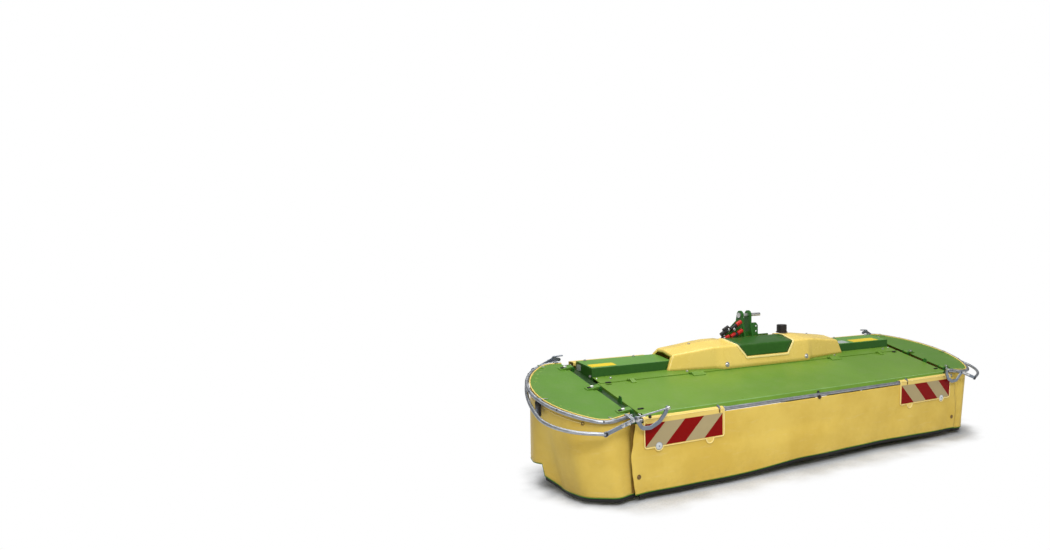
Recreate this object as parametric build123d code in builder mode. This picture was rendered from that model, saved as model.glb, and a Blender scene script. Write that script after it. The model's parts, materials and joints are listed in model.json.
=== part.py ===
from build123d import *
import math
import os

# Front-mounted disc mower, 3.2 m class, standing on its skids.
# Millimetres, Z up. X runs across the machine, -Y is the curtain side that meets the crop,
# +Y is the headstock side. The origin lies on the ground under the middle of the box.
# Places along Y are setbacks from the face of the warning boards. Places on the sloping
# covers are a run up the slope and a lift square to it.

# ---------------------------------------------------------------- main sizes
sheet_y = -519.7            # face of the warning boards
cover_slope = 12.5          # degrees the covers rise towards the beam
cover_z = 514.0             # height of the cover surface over the warning boards
guard_datum_x = 1410.0      # the side guards' lines are measured outwards from here
sheet_thickness = 4.0       # folded covers, lids and housings
contact = 0.3               # between pieces that seat on each other
moving_gap = 10.0           # between a turning knife and the next disc

arm_inner_x = 1388.0
arm_width = 56.0            # frame arm beside the centre cover
arm_height = 60.0
arm_wall = 4.0
arm_corner = 8.0
arm_drop = 14.0             # top of the arm below the cover surface
arm_front = 56.0            # along the slope, from the boards
arm_rear = 985.0

beam_setback = 700.0        # front face of the beam behind the boards
beam_size = 120.0
beam_wall = 8.0
beam_corner = 14.0
beam_end_plate = 10.0
beam_bottom_z = 590.0

disc_pitch = 400.0
disc_count = 8
disc_setback = 480.0
disc_short = 155.0          # half the short way across a disc
disc_plate = 8.0
hub_radius = 62.0
hub_height = 20.0

skid_thickness = 6.0
bar_depth = 280.0
bar_height = 62.0
bar_overhang = 170.0        # beyond the middle of the last disc

tube_radius = 12.5
tube_wall = 2.5
tube_z = 490.0
curtain_thickness = 4.0
board_thickness = 3.4
hazard_thickness = 1.0
board_outer_x = 1405.0
board_inner_x = 825.0
roll_radius = 20.5          # outside of the boards' rolled top

# ---------------------------------------------------------------- derived places
slope = math.radians(cover_slope)
along = Vector(0, math.cos(slope), math.sin(slope))
upright = Vector(0, -math.sin(slope), math.cos(slope))
arm_x = arm_inner_x + arm_width / 2
arm_outer_x = arm_inner_x + arm_width
frame_half_width = arm_inner_x - contact
beam_end_x = frame_half_width - sheet_thickness - contact
beam_middle = beam_setback + beam_size / 2
beam_rear = beam_setback + beam_size
beam_top_z = beam_bottom_z + beam_size
disc_xs = [(n - (disc_count - 1) / 2) * disc_pitch for n in range(disc_count)]
bar_bottom_z = skid_thickness
bar_top_z = bar_bottom_z + bar_height
disc_bottom_z = bar_top_z + hub_height + contact
board_front = hazard_thickness + contact
curtain_front = board_front + board_thickness + contact
tube_setback = board_front + roll_radius


def cover_plane(lift):
    """The cover surface: local X across, local Y up the slope, local Z out of the cover."""
    return Plane(origin=Vector(0, sheet_y, cover_z) + upright * lift, x_dir=(1, 0, 0), z_dir=upright)


def guard_plane(side, lift):
    """Plane of a side guard: local X outwards from its datum, local Y up the slope."""
    start = Vector(side * guard_datum_x, sheet_y, cover_z) + upright * lift
    return Plane(origin=start, x_dir=(side, 0, 0), z_dir=upright * side)


def station(side, x, run):
    """Plane square to the slope at a run along it: local X outwards, local Y out of the cover."""
    start = Vector(side * x, sheet_y, cover_z) + along * run
    return Plane(origin=start, x_dir=(side, 0, 0), z_dir=along * -side)


def slope_profile(x):
    """Plane seen from the side along the slope: local X is the run, local Y the lift."""
    return Plane(origin=(x, sheet_y, cover_z), x_dir=along, z_dir=(1, 0, 0))


def profile(x):
    """Plane seen from the side: local X is the setback behind the boards, local Y is Z."""
    return Plane(origin=(x, sheet_y, 0), x_dir=(0, 1, 0), z_dir=(1, 0, 0))


def facing(setback):
    """Upright plane across the machine: local X is X, local Y is Z, its front looks at the crop."""
    return Plane(origin=(0, sheet_y + setback, 0), x_dir=(1, 0, 0), z_dir=(0, -1, 0))


def level(z):
    """Level plane: local X is X, local Y is the setback behind the boards."""
    return Plane(origin=(0, sheet_y, z), x_dir=(1, 0, 0), z_dir=(0, 0, 1))


def folded(points, bend):
    """Section of a folded sheet: the points follow its outer face, the metal lies to their right."""
    with BuildSketch() as section:
        with BuildLine():
            FilletPolyline(*points, radius=bend)
            offset(amount=sheet_thickness, side=Side.RIGHT)
        make_face()
    return section.sketch


os.makedirs("parts", exist_ok=True)


def save(piece, name):
    piece.label = name
    export_step(piece, "parts/" + name + ".step")


# ---------------------------------------------------------------- beam
# Hose bulkheads on top of the beam, where the hydraulic hoses end.
bulkhead_radius = 9.0
bulkhead_height = 6.0
bulkhead_setback = 800.0
bulkhead_xs = [-278.0, -232.0]

with BuildPart() as main_beam:
    with BuildSketch(profile(0)):
        with Locations((beam_middle, beam_bottom_z + beam_size / 2)):
            RectangleRounded(beam_size, beam_size, beam_corner)
            RectangleRounded(beam_size - 2 * beam_wall, beam_size - 2 * beam_wall,
                             beam_corner - beam_wall, mode=Mode.SUBTRACT)
    extrude(amount=beam_end_x - beam_end_plate, both=True)
    for end in (-1, 1):
        with BuildSketch(profile(end * (beam_end_x - beam_end_plate / 2))):
            with Locations((beam_middle, beam_bottom_z + beam_size / 2)):
                RectangleRounded(beam_size, beam_size, beam_corner)
        extrude(amount=beam_end_plate / 2, both=True)
    with BuildSketch(level(beam_top_z)):
        with Locations(*[(x, bulkhead_setback) for x in bulkhead_xs]):
            Circle(bulkhead_radius)
    extrude(amount=bulkhead_height)
save(main_beam.part, "main_beam")

# ---------------------------------------------------------------- frame arms
guard_hinge_runs = [118.0, 505.0, 880.0]
hinge_lift = 8.0
hinge_barrel_radius = 10.0
hinge_barrel_length = 40.0
hinge_pin_radius = 5.0
hinge_pin_gap = 0.3
hinge_pin_head = 5.0
hinge_lug = 8.0
hinge_side_gap = 1.0
guard_hinge_x = arm_outer_x - hinge_barrel_radius

tab_run = 275.0             # upright tab that centres the closed cover
tab_length = 50.0
tab_height = 27.0           # above the cover surface
tab_thickness = 6.0
saddle_depth = 14.0         # metal under the front tube
saddle_rise = 4.0           # how far the saddle reaches up round the tube

with BuildPart() as side_arms:
    for side in (-1, 1):
        with BuildSketch(station(side, arm_x, arm_front if side < 0 else arm_rear)):
            with Locations((0, -arm_drop - arm_height / 2)):
                RectangleRounded(arm_width, arm_height, arm_corner)
                RectangleRounded(arm_width - 2 * arm_wall, arm_height - 2 * arm_wall,
                                 arm_corner - arm_wall, mode=Mode.SUBTRACT)
        extrude(amount=arm_rear - arm_front)
        with BuildSketch(station(side, arm_x, arm_rear - arm_wall if side < 0 else arm_rear)):
            with Locations((0, -arm_drop - arm_height / 2)):
                RectangleRounded(arm_width, arm_height, arm_corner)
        extrude(amount=arm_wall)
        with BuildSketch(profile(side * arm_x)):
            with BuildLine():
                Polyline((tube_setback - 8, tube_z - tube_radius - saddle_depth),
                         (tube_setback - 8, tube_z - saddle_rise),
                         (tube_setback + tube_radius + 2, tube_z - saddle_rise),
                         (arm_front + 8, tube_z + saddle_rise),
                         (arm_front + 18, tube_z - arm_height * 0.7), close=True)
            make_face()
            with Locations((tube_setback, tube_z)):
                Circle(tube_radius + contact, mode=Mode.SUBTRACT)
        extrude(amount=arm_width / 2 - 2, both=True)
        with BuildSketch(slope_profile(side * (arm_inner_x + 20 + tab_thickness / 2))):
            with BuildLine():
                Polyline((tab_run - tab_length / 2, -arm_drop - 1), (tab_run - tab_length / 4, tab_height),
                         (tab_run + tab_length / 4, tab_height), (tab_run + tab_length / 2, -arm_drop - 1),
                         close=True)
            make_face()
        extrude(amount=tab_thickness / 2, both=True)
        for run in guard_hinge_runs:
            for end in (-1, 1):
                place = run + end * (hinge_barrel_length / 2 + hinge_side_gap + hinge_lug / 2)
                with BuildSketch(station(side, guard_hinge_x, place)):
                    with Locations((0, (hinge_lift - arm_drop - 1) / 2)):
                        Rectangle(2 * hinge_barrel_radius, arm_drop + 1 + hinge_lift)
                    with Locations((0, hinge_lift)):
                        Circle(hinge_barrel_radius)
                extrude(amount=hinge_lug / 2, both=True)
            with BuildSketch(station(side, guard_hinge_x, run)):
                with Locations((0, hinge_lift)):
                    Circle(hinge_pin_radius)
            extrude(amount=hinge_barrel_length / 2 + hinge_side_gap + hinge_lug + hinge_pin_head, both=True)
save(side_arms.part, "side_arms")

# ---------------------------------------------------------------- beam housings and strip
housing_inner_x = 780.0
housing_foot = 658.0
housing_low_z = 640.0
housing_bend = 8.0
# Folded line of the housing's outer face, as setback and height.
housing_line = [(housing_foot, housing_low_z), (housing_foot + 6, 723.0), (housing_foot + 226, 747.0),
                (housing_foot + 226, 664.0)]

with BuildPart() as beam_housings:
    for side in (-1, 1):
        with BuildSketch(profile(side * (housing_inner_x + frame_half_width) / 2)):
            add(folded(housing_line, housing_bend))
        extrude(amount=(frame_half_width - housing_inner_x) / 2, both=True)
        with BuildSketch(profile(side * (frame_half_width - sheet_thickness / 2))):
            with BuildLine():
                FilletPolyline(*housing_line, radius=housing_bend, close=True)
            make_face()
        extrude(amount=sheet_thickness / 2, both=True)
save(beam_housings.part, "beam_housings")

cover_barrel_radius = 8.0
cover_axis_run = 566.0
cover_axis_lift = cover_barrel_radius
cover_pin_radius = 4.0
cover_leaf = 45.0
cover_hinges = [
    {"x": 650.0, "length": 100.0},
    {"x": 1165.0, "length": 34.0},
]
strip_start = cover_axis_run + 1.0
# The lower rear edge of the strip stops just short of the housings' front wall.
strip_end = (housing_foot - contact + contact * math.sin(slope)) / math.cos(slope)
strip_top = contact + sheet_thickness
strip_notch = strip_start + cover_barrel_radius + 2.0

with BuildPart() as cover_strip:
    with BuildSketch(cover_plane(contact)):
        with Locations((0, (strip_start + strip_end) / 2)):
            Rectangle(2 * frame_half_width, strip_end - strip_start)
        for hinge in cover_hinges:
            for side in (-1, 1):
                with Locations((side * hinge["x"], (strip_start + strip_notch) / 2)):
                    Rectangle(hinge["length"] + 2 * hinge_side_gap, strip_notch - strip_start,
                              mode=Mode.SUBTRACT)
    extrude(amount=sheet_thickness)
    for hinge in cover_hinges:
        for side in (-1, 1):
            for end in (-1, 1):
                lug_x = side * hinge["x"] + end * (hinge["length"] / 2 + hinge_side_gap + hinge_lug / 2)
                with BuildSketch(slope_profile(lug_x)):
                    with Locations((cover_axis_run, cover_axis_lift)):
                        Circle(cover_barrel_radius - contact)
                    with BuildLine():
                        Polyline((cover_axis_run, contact), (cover_axis_run, cover_axis_lift + 5),
                                 (strip_notch + 6, strip_top), (strip_notch + 6, contact), close=True)
                    make_face()
                extrude(amount=hinge_lug / 2, both=True)
            with BuildSketch(slope_profile(side * hinge["x"])):
                with Locations((cover_axis_run, cover_axis_lift)):
                    Circle(cover_pin_radius)
            extrude(amount=hinge["length"] / 2 + hinge_side_gap + hinge_lug + hinge_pin_head, both=True)
save(cover_strip.part, "cover_strip")

# ---------------------------------------------------------------- centre cover
cover_start = 60.0
cover_end = cover_axis_run + 18.0
cover_half_width = arm_inner_x + 14.0
cover_lip_radius = 9.0
cover_lip_wall = 3.0
# Slots in the cover: middle and size, across and up the slope.
cover_slots = [
    {"x": 1341.0, "run": 543.0, "long": 44.0, "wide": 14.0},
    {"x": 1361.0, "run": 116.0, "long": 36.0, "wide": 12.0},
]

with BuildPart() as centre_cover:
    with BuildSketch(cover_plane(-sheet_thickness)):
        with Locations((0, (cover_start + cover_end) / 2)):
            Rectangle(2 * cover_half_width, cover_end - cover_start)
        for slot in cover_slots:
            with Locations(*[(side * slot["x"], slot["run"]) for side in (-1, 1)]):
                SlotOverall(slot["long"], slot["wide"], mode=Mode.SUBTRACT)
    extrude(amount=sheet_thickness)
    with BuildSketch(slope_profile(0)):
        with Locations((cover_start, -cover_lip_radius)):
            Circle(cover_lip_radius)
            Circle(cover_lip_radius - cover_lip_wall, mode=Mode.SUBTRACT)
    extrude(amount=arm_inner_x - contact, both=True)
    for side in (-1, 1):
        with BuildSketch(station(side, cover_half_width - sheet_thickness / 2, (cover_start + cover_end) / 2)):
            with Locations((0, (contact - arm_drop) / 2)):
                Rectangle(sheet_thickness, arm_drop - contact)
        extrude(amount=(cover_end - cover_start) / 2 - 2 * cover_lip_radius, both=True)
        for hinge in cover_hinges:
            with BuildSketch(slope_profile(side * hinge["x"])):
                with Locations((cover_axis_run, cover_axis_lift)):
                    Circle(cover_barrel_radius)
                with BuildLine():
                    Polyline((cover_axis_run - cover_leaf, -1), (cover_axis_run - cover_leaf, sheet_thickness),
                             (cover_axis_run, cover_axis_lift + cover_barrel_radius), (cover_axis_run, -1),
                             close=True)
                make_face()
                with Locations((cover_axis_run, cover_axis_lift)):
                    Circle(cover_pin_radius + hinge_pin_gap, mode=Mode.SUBTRACT)
            extrude(amount=hinge["length"] / 2, both=True)
save(centre_cover.part, "centre_cover")

# ---------------------------------------------------------------- front tube, boards, curtain
board_bottom_z = 322.0
board_corner = 18.0
board_clip_width = 12.0
board_tabs = [              # round tabs below the boards, which carry the reflectors
    {"x": 934.0, "z": 319.0},
    {"x": 1306.0, "z": 327.0},
]
board_tab_radius = 28.0
clamp_x = 810.0
clamp_width = 14.0
clamp_radius = 17.0
hazard_long = 564.0
hazard_high = 141.0
hazard_inner_x = 837.0
hazard_bottom_z = 329.0
curtain_top_z = tube_z - tube_radius - contact
curtain_bottom_z = 52.0
curtain_top_half = 1488.0
curtain_bottom_half = 1470.0
board_middle_x = (board_inner_x + board_outer_x) / 2
board_half = (board_outer_x - board_inner_x) / 2

with BuildPart() as front_tube:
    with BuildSketch(profile(0)):
        with Locations((tube_setback, tube_z)):
            Circle(tube_radius)
            Circle(tube_radius - tube_wall, mode=Mode.SUBTRACT)
    extrude(amount=arm_x + arm_width / 2 - 2, both=True)
    for x in (-clamp_x, 0, clamp_x):
        with BuildSketch(profile(x)):
            with Locations((tube_setback, tube_z)):
                Circle(clamp_radius)
                Circle(tube_radius - tube_wall / 2, mode=Mode.SUBTRACT)
        extrude(amount=clamp_width / 2, both=True)
save(front_tube.part, "front_tube")

with BuildPart() as warning_boards:
    for side in (-1, 1):
        with BuildSketch(facing(board_front)):
            with Locations((side * board_middle_x, (board_bottom_z + tube_z) / 2)):
                plate = Rectangle(2 * board_half, tube_z - board_bottom_z)
            fillet(plate.vertices().group_by(Axis.Y)[0], board_corner)
            for tab in board_tabs:
                with Locations((side * tab["x"], tab["z"])):
                    Circle(board_tab_radius)
        extrude(amount=-board_thickness)
        with BuildSketch(profile(side * board_middle_x)):
            with Locations((tube_setback, tube_z)):
                Circle(roll_radius)
                Circle(roll_radius - board_thickness, mode=Mode.SUBTRACT)
            with Locations((tube_setback, tube_z - roll_radius)):
                Rectangle(4 * roll_radius, 2 * roll_radius, mode=Mode.SUBTRACT)
        extrude(amount=board_half, both=True)
        for clip in (-1, 0, 1):
            clip_x = side * board_middle_x + clip * (board_half - board_clip_width)
            with BuildSketch(profile(clip_x)):
                with Locations((tube_setback, tube_z)):
                    Circle(roll_radius - board_thickness / 2)
                    Circle(tube_radius + contact, mode=Mode.SUBTRACT)
                with Locations((tube_setback, tube_z - roll_radius)):
                    Rectangle(4 * roll_radius, 2 * roll_radius, mode=Mode.SUBTRACT)
            extrude(amount=board_clip_width / 2, both=True)
save(warning_boards.part, "warning_boards")

with BuildPart() as hazard_sheets:
    with BuildSketch(facing(0)):
        with Locations(*[(side * (hazard_inner_x + hazard_long / 2), hazard_bottom_z + hazard_high / 2)
                         for side in (-1, 1)]):
            Rectangle(hazard_long, hazard_high)
    extrude(amount=-hazard_thickness)
save(hazard_sheets.part, "hazard_sheets")

with BuildPart() as front_curtain:
    with BuildSketch(facing(curtain_front)):
        with BuildLine():
            Polyline((-curtain_top_half, curtain_top_z), (curtain_top_half, curtain_top_z),
                     (curtain_bottom_half, curtain_bottom_z), (-curtain_bottom_half, curtain_bottom_z),
                     close=True)
        make_face()
    extrude(amount=-curtain_thickness)
save(front_curtain.part, "front_curtain")

# ---------------------------------------------------------------- side guards
# Lines of the side guards, walked from the front corner round to the rear one: start and heading,
# straight first run, each bend's radius and turn, straight last run.
rail_line = {
    "start": (44.0, 60.4), "heading": -17.2, "first": 126.7, "last": 41.9,
    "bends": [(122.0, 65.6), (629.0, 48.8), (633.0, 45.1), (161.0, 45.8)],
}
bow_line = {
    "start": (266.0, -46.0), "heading": 26.1, "first": 98.8, "last": 30.0,
    "bends": [(291.0, 71.0), (1600.0, 26.6), (150.0, 10.6)],
}
hem_line = {                # lower edge of the side curtain, on the level
    "start": (26.0, 50.0), "heading": -20.0, "first": 107.8, "last": 49.4,
    "bends": [(75.0, 59.7), (300.0, 44.1), (1465.0, 24.6), (136.0, 79.5)],
}
rail_radius = 11.0
rail_wall = 2.0
rail_lift = -8.0
bow_lift = -50.0
curtain_inset = rail_radius + 7.0
lid_gap = 1.5               # between the lid's rim and the curtain, which leans in under it
lid_inset = curtain_inset + curtain_thickness + lid_gap
lid_inner_edge = 50.0
lid_notch_depth = 24.0
lid_notch_length = 58.0
leaf_end = 112.0            # outer end of the hinge leaves, from the datum
leaf_thickness = 5.0
# Flat straps that carry the rail on the lid: middle of the strap and its size, outwards and up the slope.
rail_straps = [
    {"u": 180.0, "v": 44.0, "wide": 30.0, "long": 60.0},
    {"u": 425.0, "v": 440.0, "wide": 60.0, "long": 30.0},
    {"u": 200.0, "v": 956.0, "wide": 30.0, "long": 60.0},
]
strap_thickness = 3.0


def heading(angle):
    return (math.cos(math.radians(angle)), math.sin(math.radians(angle)))


def guard_path(line, inset=0.0):
    """Line of a side guard, set in from itself by a distance."""
    angle = line["heading"]
    way = heading(angle)
    start = (line["start"][0] - way[1] * inset, line["start"][1] + way[0] * inset)
    walk = Line(start, (start[0] + line["first"] * way[0], start[1] + line["first"] * way[1]))
    for radius, turn in line["bends"]:
        walk = JernArc(walk @ 1, heading(angle), radius - inset, turn)
        angle += turn
    end = walk @ 1
    way = heading(angle)
    Line(end, (end.X + line["last"] * way[0], end.Y + line["last"] * way[1]))


def guard_tube(plane, line):
    """Bent tube along a guard line."""
    with BuildLine() as flat:
        guard_path(line)
    route = plane.from_local_coords(flat.wire())
    with BuildPart() as tube:
        with BuildSketch(Plane(origin=route @ 0, z_dir=route % 0)):
            Circle(rail_radius)
            Circle(rail_radius - rail_wall, mode=Mode.SUBTRACT)
        sweep(path=route)
    return tube.part


def guard_face(line, inset, inner_edge):
    """Area inside a guard line, set in from it, closed along an edge beside the hinge line."""
    with BuildSketch() as area:
        with BuildLine() as edge:
            guard_path(line, inset)
            wire = edge.wire()
            front = wire @ 0
            rear = wire @ 1
            Polyline((rear.X, rear.Y), (inner_edge, rear.Y), (inner_edge, front.Y), (front.X, front.Y))
        make_face()
    return area.sketch


def side_lid(side):
    with BuildPart() as lid:
        with BuildSketch(guard_plane(side, -sheet_thickness if side > 0 else 0)):
            add(guard_face(rail_line, lid_inset, lid_inner_edge))
            for run in guard_hinge_runs:
                with Locations((lid_inner_edge + lid_notch_depth / 2, run)):
                    Rectangle(lid_notch_depth, lid_notch_length, mode=Mode.SUBTRACT)
        extrude(amount=sheet_thickness)
        hinge_u = guard_hinge_x - guard_datum_x
        for run in guard_hinge_runs:
            with BuildSketch(station(side, guard_datum_x, run)):
                with BuildLine():
                    Polyline((lid_inner_edge, -1), (leaf_end, -1), (leaf_end, leaf_thickness),
                             (hinge_u, hinge_lift + hinge_barrel_radius),
                             (hinge_u, hinge_lift - hinge_barrel_radius), close=True)
                make_face()
                with Locations((hinge_u, hinge_lift)):
                    Circle(hinge_barrel_radius)
                with Locations((hinge_u, hinge_lift)):
                    Circle(hinge_pin_radius + hinge_pin_gap, mode=Mode.SUBTRACT)
            extrude(amount=hinge_barrel_length / 2, both=True)
    return lid.part


def guard_rail(side):
    with BuildPart() as upper_rail:
        add(guard_tube(guard_plane(side, rail_lift), rail_line))
        for strap in rail_straps:
            with BuildSketch(guard_plane(side, contact)):
                with Locations((strap["u"], strap["v"])):
                    Rectangle(strap["wide"], strap["long"])
            extrude(amount=strap_thickness * side)
    return upper_rail.part


side_curtain_bottom_z = 50.0
side_curtain_step = 640.0
side_curtain_step_z = 150.0


def curtain_body(side, inset, inner_edge):
    """Solid that fills the side curtain's outline from the lid down to its hem."""
    with BuildPart() as body:
        with BuildSketch(guard_plane(side, 0)):
            add(guard_face(rail_line, curtain_inset + inset, inner_edge))
        with BuildSketch(Plane(origin=(side * guard_datum_x, sheet_y, side_curtain_bottom_z),
                               x_dir=(side, 0, 0), z_dir=(0, 0, side))):
            add(guard_face(hem_line, inset, inner_edge - 20))
        loft(ruled=True)
    return body.part


def side_curtain(side):
    with BuildPart() as skirt:
        add(curtain_body(side, 0, 42.0))
        add(curtain_body(side, curtain_thickness, -60.0), mode=Mode.SUBTRACT)
        with Locations((side * guard_datum_x, sheet_y + side_curtain_step + 500, side_curtain_step_z - 500)):
            Box(1400, 1000, 1000, mode=Mode.SUBTRACT)
    return skirt.part


# Levers that carry the bow and swing it with the guard: where along the slope, to which side the
# rod lies, the bent plate's middle line and the run where its foot rests on the rail.
levers = [
    {"run": -46.0, "outward": -1, "foot": 64.0, "rod": ((80.0, 30.0), (-128.0, 64.0)),
     "line": [(266.0, -50.0), (76.0, 18.0), (30.0, -46.0), (-26.0, -50.0), (-80.0, -22.0), (-116.0, 26.0),
              (-128.0, 63.0)]},
    {"run": 1034.0, "outward": 1, "foot": 985.0, "rod": ((80.0, 30.0), (10.0, 34.0)),
     "line": [(215.0, -50.0), (76.0, 18.0), (40.0, 10.0)]},
]
lever_thickness = 8.0
lever_width = 24.0
lever_bend = 22.0
lever_boss = 17.0
lever_rod_radius = 5.0
lever_foot = (66.0, 92.0)   # inner and outer edge of the foot on the rail
lever_foot_thickness = 5.0


def guard_bow(side):
    with BuildPart() as bow:
        add(guard_tube(guard_plane(side, bow_lift), bow_line))
        for lever in levers:
            with BuildSketch(station(side, guard_datum_x, lever["run"])):
                with BuildLine():
                    FilletPolyline(*lever["line"], radius=lever_bend)
                trace(line_width=lever_width)
                for place in (lever["line"][0], lever["line"][1]):
                    with Locations(place):
                        Circle(lever_boss)
                with Locations(lever["line"][-1]):
                    Circle(lever_width / 2)
                with Locations(lever["line"][0]):
                    Circle(rail_radius - rail_wall, mode=Mode.SUBTRACT)
            extrude(amount=lever_thickness / 2, both=True)
            rod_run = lever["run"] + lever["outward"] * (lever_thickness / 2 + lever_rod_radius - 2)
            rod_plane = station(side, guard_datum_x, rod_run)
            rod_start, rod_end = [rod_plane.from_local_coords((*place, 0)) for place in lever["rod"]]
            with BuildSketch(Plane(origin=rod_start, z_dir=rod_end - rod_start)):
                Circle(lever_rod_radius)
            extrude(amount=(rod_end - rod_start).length)
            with BuildSketch(guard_plane(side, rail_lift + rail_radius + contact)):
                with Locations((sum(lever_foot) / 2, (lever["run"] + lever["foot"]) / 2)):
                    Rectangle(lever_foot[1] - lever_foot[0], abs(lever["run"] - lever["foot"]))
            extrude(amount=lever_foot_thickness * side)
    return bow.part


for side, name in ((-1, "left"), (1, "right")):
    save(side_lid(side), "side_lid_" + name)
    save(guard_rail(side), "guard_rail_" + name)
    save(guard_bow(side), "guard_bow_" + name)
    save(side_curtain(side), "side_curtain_" + name)

# ---------------------------------------------------------------- hood
# Sections of the hood across the machine, as setback and height: the foot on the strip, the brow
# where the front turns into the sloping top, and the ridge where the top levels out.
hood_sections = [
    {"x": 830.0, "foot": (638.0, 655.0), "brow": (666.0, 746.0), "ridge": (742.0, 782.0)},
    {"x": 545.0, "foot": (602.0, 648.0), "brow": (640.0, 757.0), "ridge": (745.0, 806.0)},
    {"x": 430.0, "foot": (568.0, 640.0), "brow": (602.0, 788.0), "ridge": (752.0, 834.0)},
]
hood_rear = 905.0
hood_rear_slope = 40.0
hood_low_z = 600.0
hood_front_z = 632.0        # lowest edge of the front and ends, before they are cut to the strip
hood_rear_z = 666.0         # lower edge behind the beam's front
hood_bend = 18.0
hood_wall = 4.0
hood_rim = 17.0
hood_lean = 23.7            # degrees the hood's ends lean inwards
hood_notch_half = 290.0
hood_notch = 775.0
frame_rise = 5.0            # raised frame round the panel
frame_width = 18.0
panel_thickness = 3.0
# Half outline of the panel seen from the front: how far out and how high.
panel_low = (195.0, 713.0)
panel_brow = (264.0, 790.0)
panel_top = (275.0, 834.0)


def hood_outline(place, inset):
    """Section of the hood at one station, set in from its outer face, as setback and height."""
    foot, brow, ridge = place["foot"], place["brow"], place["ridge"]
    lean = (foot[0] - brow[0]) / (brow[1] - foot[1])
    low_front = foot[0] + lean * (foot[1] - hood_low_z)
    with BuildSketch() as section:
        with BuildLine():
            FilletPolyline((hood_rear, hood_low_z), (low_front, hood_low_z), brow, ridge,
                           (hood_rear - hood_rear_slope, ridge[1]), (hood_rear, ridge[1] - hood_rear_slope),
                           radius=hood_bend, close=True)
        make_face()
        if inset != 0:
            offset(amount=-inset)
    return section.sketch


def hood_end(side, inset):
    """Leaning plane at one end of the hood, set in from its outer face."""
    lean = math.radians(hood_lean)
    outwards = Vector(side * math.cos(lean), 0, math.sin(lean))
    foot = Vector(side * hood_sections[0]["x"], sheet_y + hood_sections[0]["foot"][0], hood_sections[0]["foot"][1])
    return Plane(origin=foot - outwards * inset, z_dir=outwards)


def hood_block(inset):
    """The hood's form as a solid, set in from its outer face."""
    middle = hood_sections[-1]
    with BuildPart() as block:
        for side in (-1, 1):
            for outer, inner in zip(hood_sections, hood_sections[1:]):
                for place in (outer, inner):
                    with BuildSketch(profile(side * place["x"])):
                        add(hood_outline(place, inset))
                loft(ruled=True)
        with BuildSketch(profile(0)):
            add(hood_outline(middle, inset))
        extrude(amount=middle["x"], both=True)
        for side in (-1, 1):
            split(bisect_by=hood_end(side, inset), keep=Keep.BOTTOM)
    return block.part


def panel_prism(grow, setback):
    """Prism through the panel's outline, as deep as the hood's front, grown sideways and down."""
    with BuildPart() as prism:
        with BuildSketch(facing(hood_sections[-1]["foot"][0] - 60)):
            with BuildLine():
                Polyline((-panel_low[0] - grow, panel_low[1] - grow), (panel_low[0] + grow, panel_low[1] - grow),
                         (panel_brow[0] + grow, panel_brow[1]), (panel_top[0] + grow, panel_top[1]),
                         (panel_top[0] + grow, panel_top[1] + 40), (-panel_top[0] - grow, panel_top[1] + 40),
                         (-panel_top[0] - grow, panel_top[1]), (-panel_brow[0] - grow, panel_brow[1]),
                         close=True)
            make_face()
        extrude(amount=hood_sections[-1]["foot"][0] - 60 - setback)
    return prism.part


def hood_skin(inner, outer):
    """Layer over the middle of the hood between two distances from its outer face."""
    with BuildPart() as layer:
        with BuildSketch(profile(0)):
            add(hood_outline(hood_sections[-1], -outer))
            add(hood_outline(hood_sections[-1], -inner), mode=Mode.SUBTRACT)
        extrude(amount=panel_top[0] + 3 * frame_width, both=True)
    return layer.part


with BuildPart() as hood:
    add(hood_block(0))
    add(hood_block(hood_wall), mode=Mode.SUBTRACT)
    for side in (-1, 1):
        with BuildSketch(profile(side * (hood_sections[0]["x"] - 20))):
            add(hood_outline(hood_sections[0], hood_rim))
        extrude(amount=40, both=True, mode=Mode.SUBTRACT)
        with BuildSketch(profile(side * (housing_inner_x - contact))):
            with BuildLine():
                FilletPolyline(*housing_line, radius=housing_bend, close=True)
            make_face()
            offset(amount=contact)
        extrude(amount=side * 100, mode=Mode.SUBTRACT)
    with Locations((0, sheet_y + hood_notch + 200, 800)):
        Box(2 * hood_notch_half, 400, 400, mode=Mode.SUBTRACT)
    with Locations((0, sheet_y + 500, hood_front_z - 200), (0, sheet_y + hood_sections[0]["brow"][0] + 500, hood_rear_z - 200)):
        Box(2000, 1000, 400, mode=Mode.SUBTRACT)
    with BuildSketch(cover_plane(strip_top + contact)):
        with Locations((0, strip_end - 150)):
            Rectangle(2000, 300)
    extrude(amount=-100, mode=Mode.SUBTRACT)
    add(hood_skin(-hood_wall / 2, frame_rise) & panel_prism(frame_width, hood_notch))
    add(hood_skin(0, frame_rise + 1) & panel_prism(0, hood_notch + 10), mode=Mode.SUBTRACT)
save(hood.part, "hood")

panel = hood_skin(contact, contact + panel_thickness) & panel_prism(-contact, hood_notch)
save(panel, "hood_panel")

# A breather cap stands on the hood's top.
cap_radius = 40.0
cap_height = 60.0
cap_base_radius = 46.0
cap_base_height = 5.0
cap_round = 5.0
cap_x = 355.0
cap_setback = 832.0

with BuildPart() as vent_cap:
    with BuildSketch(level(hood_sections[-1]["ridge"][1] + contact)):
        with Locations((cap_x, cap_setback)):
            Circle(cap_base_radius)
    extrude(amount=cap_base_height)
    with BuildSketch(level(hood_sections[-1]["ridge"][1] + contact + cap_base_height)):
        with Locations((cap_x, cap_setback)):
            Circle(cap_radius)
    extrude(amount=cap_height - cap_base_height)
    fillet(vent_cap.faces().sort_by(Axis.Z)[-1].edges(), cap_round)
save(vent_cap.part, "vent_cap")

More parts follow.
